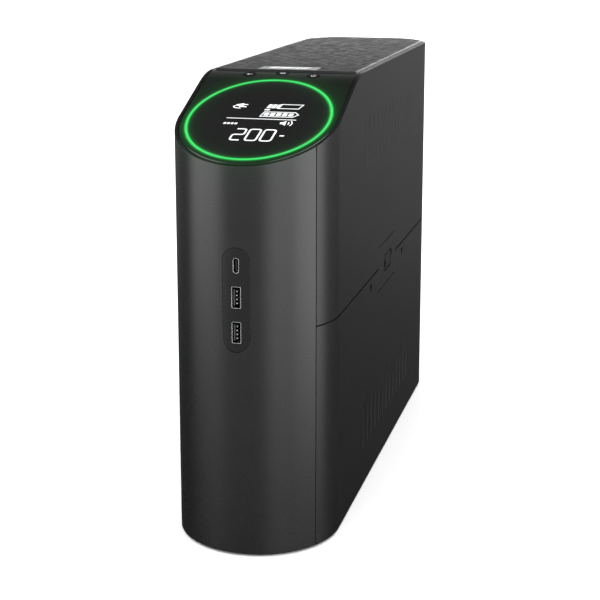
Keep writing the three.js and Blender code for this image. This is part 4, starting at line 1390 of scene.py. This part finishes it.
def build_rear():
    frame_piece = refined("recess_lining", "panel_frame", 0.35 * MM)
    adopt(frame_piece, "casing", "rear_plastic", "panel_frame")
    back = facing_back(PANEL_Y)
    thick = PANEL_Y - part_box("socket_plate")[0].y
    inlet_hole = node_loop("power_inlet", -3 * MM, 1 * MM)
    lower = plate(
        "inlet_panel",
        [densify(node_loop("inlet_plate"), 6 * MM), inlet_hole,
         round_loop("breaker_body", 7.3 * MM), *screw_loops(*SCREWS[:2])],
        back, thick, rounded(0.3 * MM, 3))
    adopt(lower, "casing", "rear_plastic", "inlet_plate")
    upper = plate(
        "connector_panel",
        [densify(node_loop("connector_plate"), 6 * MM), node_loop("data_port", GAP),
         node_loop("network_port", GAP), round_loop("coax_in", 5.3 * MM),
         round_loop("coax_out", 5.3 * MM), *screw_loops(*SCREWS[2:])],
        back, thick, rounded(0.3 * MM, 3))
    adopt(upper, "casing", "rear_plastic", "connector_plate")
    strips = ("outlet_strip_left", "outlet_strip_right")
    sockets = plate(
        "socket_panel",
        [densify(node_loop("socket_plate"), 6 * MM), *[node_loop(s, GAP) for s in strips]],
        back, thick, rounded(0.3 * MM, 3))
    adopt(sockets, "casing", "rear_plastic", "socket_plate")
    for index, node in enumerate(SCREWS):
        build_screw(node, index)
    for node in strips:
        build_outlets(node)
    build_inlet()
    build_breaker()
    build_jack("data_port", 1)
    build_jack("network_port", 2)
    build_coax("coax_in")
    build_coax("coax_out")


def cross_loop(reach, width, middle, turn):
    """A cross recess, turned by an angle."""
    r, w = reach, width / 2
    points = np.array([
        (w, w), (r, w), (r, -w), (w, -w), (w, -r), (-w, -r), (-w, -w), (-r, -w), (-r, w),
        (-w, w), (-w, r), (w, r)])
    c, s = math.cos(turn), math.sin(turn)
    return points @ np.array([[c, s], [-s, c]]) + middle


def build_screw(node, index):
    spot = middle_of(node)
    middle = (-spot.x, spot.z)
    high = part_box(node)[1].y
    head = plate(
        f"{node}_head",
        [ellipse(2.9 * MM, middle=middle, sides=40), cross_loop(1.5 * MM, 0.7 * MM, middle, 0.4 + index)],
        facing_back(high), 2 * MM, rounded(1.1 * MM, 6), hole_rim=rounded(0.08 * MM, 2))
    seat = plate(
        f"{node}_seat", [ellipse(1.7 * MM, middle=middle, sides=24)],
        facing_back(high - 1.1 * MM), 6 * MM, rounded(0.1 * MM, 2))
    adopt(merge(f"{node}_steel", [head, seat]), "casing", "screw_steel", node)


SOCKET_CENTRES = [(84 + 34 * k) * MM for k in range(5)]


def build_outlets(node):
    """A strip of five three-pin sockets, each with a raised face and real contact wells, floored with
    painted shade.
    """
    a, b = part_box(node)
    x = -(a.x + b.x) / 2
    body = plate(
        f"{node}_bed",
        [densify(node_loop(node, 0, 1 * MM), 8 * MM),
         *[rectangle(26.4 * MM, 29.4 * MM, (x, z), 4.4 * MM) for z in SOCKET_CENTRES]],
        facing_back(PANEL_Y), 3 * MM, rounded(0.4 * MM, 3))
    parts = [body]
    for index, z in enumerate(SOCKET_CENTRES):
        ground = ellipse(2.5 * MM, middle=(x, z - 7.9 * MM), sides=24)
        ground[:, 1] = np.maximum(ground[:, 1], z - 9.6 * MM)
        parts.append(plate(
            f"{node}_face_{index}",
            [densify(rectangle(26 * MM, 29 * MM, (x, z), 4.2 * MM, 8), 3 * MM),
             rectangle(2.3 * MM, 8.8 * MM, (x + 6.35 * MM, z + 4 * MM), 0.3 * MM),
             rectangle(2.3 * MM, 7.4 * MM, (x - 6.35 * MM, z + 4 * MM), 0.3 * MM), ground],
            facing_back(b.y), 11 * MM, rounded(0.7 * MM, 4), hole_rim=rounded(0.25 * MM, 3)))
    adopt(merge(f"{node}_moulding", parts), "casing", "socket_plastic", node)
    # floors of painted shade at the bottom of the contact holes
    wells = [bevelled_box(
        f"{node}_well_{index}",
        (-x - 11 * MM, b.y - 11.2 * MM, z - 12 * MM), (-x + 11 * MM, b.y - 9.5 * MM, z + 12 * MM),
        0.3 * MM) for index, z in enumerate(SOCKET_CENTRES)]
    adopt(merge(f"{node}_wells", wells), "casing", "socket_painted_shade")
    contacts = []
    for index, z in enumerate(SOCKET_CENTRES):
        for k, (dx, dz, h) in enumerate(((6.35, 4, 6.4), (-6.35, 4, 5.2), (0, -7.9, 2.4))):
            for hand in (-1, 1):
                cx = -x + dx * MM + hand * 0.95 * MM
                contacts.append(bevelled_box(
                    f"{node}_leaf_{index}_{k}_{hand}",
                    (cx - 0.16 * MM, b.y - 9.4 * MM, z + dz * MM - h / 2 * MM),
                    (cx + 0.16 * MM, b.y - 4 * MM, z + dz * MM + h / 2 * MM), 0.05 * MM, 1))
    adopt(merge(f"{node}_contacts", contacts), "casing", "contact_metal")


def build_inlet():
    """Appliance inlet: a flange with two cut corners, a deep well and three blades."""
    a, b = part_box("power_inlet")
    spot = middle_of("power_inlet")
    middle = np.array((-spot.x, spot.z))
    opening = polygon(
        [(-12, -8), (12, -8), (12, 3.5), (7.5, 8), (-7.5, 8), (-12, 3.5)], middle=middle)
    flange = plate(
        "inlet_flange", [densify(node_loop("power_inlet", 0, 2.5 * MM), 4 * MM), opening],
        facing_back(b.y), 2 * MM, rounded(0.7 * MM, 4))
    grown = polygon(
        [(-13.4, -9.4), (13.4, -9.4), (13.4, 4.1), (8.1, 9.4), (-8.1, 9.4), (-13.4, 4.1)],
        middle=middle)
    barrel = plate(
        "inlet_barrel", [grown, opening], facing_back(b.y - 0.8 * MM), 15.2 * MM,
        rounded(0.2 * MM, 2))
    adopt(merge("inlet_moulding", [flange, barrel]), "casing", "socket_plastic", "power_inlet")
    # a floor of painted shade at the bottom of the inlet's well
    well = plate(
        "inlet_well", [grown], facing_back(b.y - 15 * MM), 1 * MM, rounded(0.2 * MM, 2))
    adopt(well, "casing", "socket_painted_shade")
    blades = []
    for index, (dx, dz) in enumerate(((-7, 2), (7, 2), (0, -2))):
        loop = rectangle(1.9 * MM, 3.9 * MM, (middle[0] + dx * MM, middle[1] + dz * MM), 0.3 * MM)
        blades.append(plate(
            f"inlet_blade_{index}", [loop], facing_back(184 * MM), 14 * MM, rounded(0.5 * MM, 4)))
    adopt(merge("inlet_blades", blades), "casing", "contact_metal", "inlet_contacts")


def toward_back(node, y):
    """Places a piece turned about Z so that its axis runs along +Y through a node."""
    spot = middle_of(node)
    return Matrix.Translation((spot.x, y, spot.z)) @ Matrix.Rotation(-math.pi / 2, 4, "X")


def build_breaker():
    m = MM
    ring = [
        (4.3 * m, -14 * m), (7 * m, -14 * m), (7 * m, 0.3 * m), (8.6 * m, 0.3 * m), (9 * m, 0.6 * m),
        (9 * m, 1.2 * m), (8.4 * m, 1.9 * m), (7.2 * m, 2 * m), (6.2 * m, 1.8 * m), (5 * m, 1.0 * m),
        (4.35 * m, 0.6 * m), (4.3 * m, 0.2 * m), (4.3 * m, -14 * m)]
    collar = lathe("breaker_collar", ring, toward_back("breaker_body", PANEL_Y))
    adopt(collar, "casing", "socket_plastic", "breaker_body")
    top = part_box("breaker_button")[1].y - PANEL_Y
    cap = [
        (0, -12.8 * m), (4 * m, -12.8 * m), (4 * m, top - 0.8 * m), (3.8 * m, top - 0.3 * m),
        (3.3 * m, top - 0.05 * m), (2.2 * m, top), (1.2 * m, top - 0.15 * m), (0, top - 0.2 * m)]
    button = lathe("breaker_push", cap, toward_back("breaker_button", PANEL_Y))
    adopt(button, "breaker", "button_plastic", "breaker_button")


def build_jack(node, count):
    """Modular sockets with a stepped opening for the plug's tab, and plated springs."""
    a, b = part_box(node)
    spot = middle_of(node)
    pitch = (b.x - a.x) / count
    openings = []
    centres = []
    for k in range(count):
        x = -spot.x + (k - (count - 1) / 2) * pitch
        centres.append(x)
        openings.append(polygon(
            [(-5.9, -2.6), (-3.2, -2.6), (-3.2, -3.7), (-1.9, -3.7), (-1.9, -4.7), (1.9, -4.7),
             (1.9, -3.7), (3.2, -3.7), (3.2, -2.6), (5.9, -2.6), (5.9, 4.2), (-5.9, 4.2)],
            middle=(x, spot.z)))
    body = plate(
        f"{node}_block", [densify(node_loop(node, 0, 0.6 * MM), 5 * MM), *openings],
        facing_back(b.y), 12 * MM, rounded(0.35 * MM, 3), hole_rim=rounded(0.15 * MM, 2))
    adopt(body, "casing", "socket_plastic", node)
    # The wells are floors of painted shade at the bottom of each opening.
    wells, springs = [], []
    for k, x in enumerate(centres):
        wells.append(bevelled_box(
            f"{node}_well_{k}", (-x - 6.5 * MM, b.y - 12.5 * MM, spot.z - 5.5 * MM),
            (-x + 6.5 * MM, b.y - 11 * MM, spot.z + 5 * MM), 0.2 * MM))
        for j in range(8):
            sx = -x + (j - 3.5) * 1.02 * MM
            path = [
                (sx, b.y - 1.6 * MM, spot.z + 3.7 * MM), (sx, b.y - 4 * MM, spot.z + 3.0 * MM),
                (sx, b.y - 7 * MM, spot.z + 1.6 * MM), (sx, b.y - 10.8 * MM, spot.z + 0.2 * MM)]
            springs.append(tube(f"{node}_spring_{k}_{j}", path, 0.24 * MM, sides=6, samples=10))
    adopt(merge(f"{node}_wells", wells), "casing", "socket_painted_shade")
    adopt(merge(f"{node}_springs", springs), "casing", "contact_metal")


def build_coax(node):
    """Aerial socket: hexagon nut, threaded barrel and a white insulator."""
    a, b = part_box(node)
    spot = middle_of(node)
    middle = (-spot.x, spot.z)
    nut_loops = [
        ellipse(6.6 * MM, middle=middle, sides=6), ellipse(4.4 * MM, middle=middle, sides=36)]
    nut = plate(
        f"{node}_nut", nut_loops, facing_back(PANEL_Y + 2.4 * MM), 2.1 * MM, rounded(0.35 * MM, 3))
    length = b.y - PANEL_Y
    profile = [(1.9 * MM, -12 * MM), (4.3 * MM, -12 * MM), (4.3 * MM, 2.2 * MM)]
    height = 2.4 * MM
    while height < length - 1.0 * MM:
        profile += [
            (4.25 * MM, height), (4.68 * MM, height + 0.22 * MM), (4.25 * MM, height + 0.44 * MM)]
        height += 0.5 * MM
    profile += [(4.3 * MM, length - 0.5 * MM), (4.0 * MM, length), (3.2 * MM, length),
                (3.0 * MM, length - 0.4 * MM), (3.0 * MM, length - 1.2 * MM), (1.9 * MM, length - 1.2 * MM),
                (1.9 * MM, -12 * MM)]
    barrel = lathe(f"{node}_thread", profile, toward_back(node, PANEL_Y), crease=20)
    adopt(merge(f"{node}_body", [nut, barrel]), "casing", "screw_steel", node)
    core = [(0.55 * MM, length - 6 * MM), (2.9 * MM, length - 6 * MM), (2.9 * MM, length - 1.0 * MM),
            (0.9 * MM, length - 0.9 * MM), (0.6 * MM, length - 1.4 * MM), (0.55 * MM, length - 6 * MM)]
    insulator = lathe(f"{node}_insulator", core, toward_back(node, PANEL_Y))
    adopt(insulator, "casing", "insulator")


# ---- Underside, battery and power stage ----------------------------------------------


def build_feet():
    for end in ("front", "rear"):
        for hand in ("left", "right"):
            node = f"foot_{end}_{hand}"
            a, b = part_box(node)
            spot = middle_of(node)
            r, top = (b.x - a.x) / 2, b.z
            profile = [
                (0, 0.35 * MM), (r * 0.5, 0.35 * MM), (r * 0.56, 0), (r * 0.9, 0),
                (r, 0.35 * MM), (r, top), (0, top)]
            foot = lathe(f"{node}_pad", profile, Matrix.Translation((spot.x, spot.y, 0)))
            adopt(foot, "casing", "rubber", node)


def build_base():
    base = refined("base_tray", "base_pan", 0.5 * MM, segments=3)
    adopt(base, "casing", "rear_plastic", "base_pan")
    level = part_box("base_pan")[0].z
    ribs = []
    for index, y in enumerate(np.arange(-120, 131, 25) * MM):
        ribs.append(bevelled_box(
            f"base_rib_{index}", (-20 * MM, y - 2 * MM, level - 0.25 * MM),
            (20 * MM, y + 2 * MM, level + 0.3 * MM), 0.12 * MM, 2))
    adopt(merge("base_ribs", ribs), "casing", "rear_plastic")


def build_battery():
    for node in ("battery_lower", "battery_upper"):
        a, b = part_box(node)
        split = b.x - 5 * MM
        tub = bevelled_box(f"{node}_tub", (a.x, a.y, a.z), (split, b.y, b.z), 1.6 * MM, 4)
        lid = bevelled_box(
            f"{node}_lid", (split - 1 * MM, a.y + 1 * MM, a.z + 1 * MM),
            (b.x, b.y - 1 * MM, b.z - 1 * MM), 1.2 * MM, 4)
        bars = []
        middle = (a.z + b.z) / 2
        for k in range(6):
            y = a.y + (b.y - a.y) * (k + 0.5) / 6
            bars.append(bevelled_box(
                f"{node}_bar_{k}", (b.x - 0.6 * MM, y - 8.5 * MM, middle - 24 * MM),
                (b.x + 0.15 * MM, y + 8.5 * MM, middle + 24 * MM), 0.5 * MM, 3))
        adopt(merge(f"{node}_case", [tub, lid, *bars]), "battery_pack", "battery_case", node)
    sleeve = refined("battery_strap", "battery_sleeve", 0.35 * MM)
    adopt(sleeve, "battery_pack", "sleeve", "battery_sleeve")


def build_inside():
    pieces = (
        ("battery_contacts", "socket_plastic", "casing", 0.8),
        ("transformer_core", "core_steel", "casing", 0.5),
        ("transformer_coil", "coil_tape", "casing", 2.0),
        ("transformer_bracket", "core_steel", "casing", 0.4),
        ("mid_deck", "rear_plastic", "casing", 0.3),
        ("main_board", "circuit_board", "casing", 0.2),
        ("heat_sink", "heat_sink", "casing", 0.3),
        ("capacitor", "capacitor_sleeve", "casing", 0.5),
        ("buzzer", "socket_plastic", "casing", 0.5),
        ("choke", "copper_wire", "casing", 0.2),
        ("fan_frame", "fan_plastic", "casing", 0.4),
        ("fan_rotor", "fan_plastic", "rotor", 0.25),
        ("lcd_module", "lcd", "casing", 0.4),
        ("display_board", "circuit_board", "casing", 0.2),
        ("usb_board", "circuit_board", "casing", 0.2),
    )
    for node, finish, body, radius in pieces:
        adopt(refined(f"{node}_detail", node, radius * MM), body, finish, node)
    for name, shift, finish in (("red", 0, "lead_red"), ("black", 12, "lead_black")):
        path = [(-49.5, 52 + shift, 84.3), (-49.5, 52 + shift, 110), (-49.3, 48 + shift, 140),
                (-49, 44 + shift, 165), (-47.5, 42 + shift, 178)]
        lead = tube(f"lead_{name}_wire", np.array(path) * MM, 1.85 * MM)
        adopt(lead, "casing", finish, f"battery_lead_{name}")


# ---- Stage ---------------------------------------------------------------------------


# What shines in the casing. The room's brightness by height above the horizon, in degrees,
# and its lamps: direction, half width and softness round the object, lowest and highest
# edges and their softness, and brightness. Directions are 0 at the front and 90 at the right.
ROOM_LEVELS = [
    (-90, 0.012), (-24, 0.022), (-20, 0.038), (-15, 0.068), (-12.5, 0.138), (-10, 0.165),
    (-6, 0.22), (0, 0.34), (5, 0.36), (14, 0.30), (28, 0.17), (44, 0.09), (90, 0.08)]
LAMPS = {
    "right": (90, 19, 12, -18, 55, 4, 3.5),
    "front_right": (47, 17, 14, -18.3, 50, 5, 1.95),
    "left": (-63, 22, 13, -14, 50, 4, 2.5),
    "front": (0, 60, 30, -24.0, 20, 7, 0.56),
    "behind": (-166, 7, 7, -2, 9, 3, 1.5),
    "behind_right": (122, 14, 14, -15.5, 30, 6, 0.22),
}


class Room(Tree):
    """The world's nodes: white to the eye, even to matt surfaces, and lamps to shiny ones."""

    def __init__(self):
        world = bpy.data.worlds.new("room")
        bpy.context.scene.world = world
        super().__init__(world)
        world.cycles.sampling_method = "NONE"
        self.nodes.clear()
        self.toward = self.add("SeparateXYZ", Vector=self.add("TexCoord").outputs["Generated"]).outputs

    def ease(self, value, start, end):
        """Goes smoothly from 0 at the start to 1 at the end."""
        node = self.add("MapRange", Value=value, From_Min=start, From_Max=end)
        node.interpolation_type = "SMOOTHSTEP"
        return node.outputs["Result"]

    def background(self, strength):
        return self.add("Background", Color=(1, 1, 1), Strength=strength).outputs[0]

    def choose(self, amount, first, second):
        node = self.add("MixShader", Fac=amount)
        self.put(node.inputs[1], first)
        self.put(node.inputs[2], second)
        return node.outputs["Shader"]

    def base_level(self):
        level = self.add("MapRange", Value=self.toward["Z"], From_Min=-1)
        return self.ramp(level.outputs["Result"], [
            (0.5 + 0.5 * math.sin(math.radians(degrees)), grey(value))
            for degrees, value in ROOM_LEVELS])

    def lamp(self, turn, half, soft, low, high, edge, strength):
        x, y, z = (self.toward[axis] for axis in "XYZ")
        turn = math.radians(turn)
        along = self.math(
            "ADD", self.math("MULTIPLY", x, math.sin(turn)), self.math("MULTIPLY", y, -math.cos(turn)))
        flat = self.math("SQRT", self.math("SUBTRACT", 1.0001, self.math("MULTIPLY", z, z)))
        cosine = self.math("DIVIDE", along, flat)
        sideways = self.ease(
            cosine, math.cos(math.radians(half + soft)), math.cos(math.radians(max(half - soft, 0))))
        above = self.ease(z, *(math.sin(math.radians(low + k * edge)) for k in (-1, 1)))
        below = self.ease(z, *(math.sin(math.radians(high + k * edge)) for k in (1, -1)))
        amount = self.math("MULTIPLY", sideways, self.math("MULTIPLY", above, below))
        return self.math("MULTIPLY", amount, strength)


# Brightness of the surroundings: as seen by the camera and by matt surfaces
SEEN_LEVEL, MATT_LEVEL = 1.3, 1.9
FLOOR_REACH = 9.0


def build_world():
    room = Room()
    total = room.base_level()
    for lamp in LAMPS.values():
        total = room.math("ADD", total, room.lamp(*lamp))
    path = room.add("LightPath").outputs
    soft = room.choose(path["Is Glossy Ray"], room.background(MATT_LEVEL), room.background(total))
    seen = room.choose(path["Is Camera Ray"], soft, room.background(SEEN_LEVEL))
    room.add("OutputWorld", Surface=seen)


def build_floor():
    paint = Paint("floor_paper", Roughness=0.95, Specular_IOR_Level=0.1)
    fibres = paint.noise(3 * MM, detail=3)
    paint.feed(Base_Color=paint.blend(fibres, grey(0.93), grey(0.95)))
    corners = [(x * FLOOR_REACH, y * FLOOR_REACH, 0) for x, y in ((-1, -1), (1, -1), (1, 1), (-1, 1))]
    floor = mesh_object("floor_sheet", corners, [(0, 1, 2, 3)])
    floor.data.materials.append(paint.material)
    floor.visible_glossy = False


def build_camera():
    data = bpy.data.cameras.new("camera")
    camera = bpy.data.objects.new("camera", data)
    bpy.context.scene.collection.objects.link(camera)
    bpy.context.scene.camera = camera
    camera.location = (0.2519, -1.0240, 0.4034)
    camera.rotation_euler = (math.radians(90 - 11.98), 0, math.radians(14.42))
    data.sensor_width = 36
    data.lens = 84.9
    data.shift_y = -0.13
    data.clip_start, data.clip_end = 0.05, 60


def build_stage():
    view = bpy.context.scene.view_settings
    view.view_transform = "Standard"
    view.look = "None"
    view.exposure = 0
    view.gamma = 1
    build_world()
    build_floor()


build_camera()
build_casing()
build_display()
build_ports()
build_rear()
build_feet()
build_base()
build_battery()
build_inside()
build_stage()
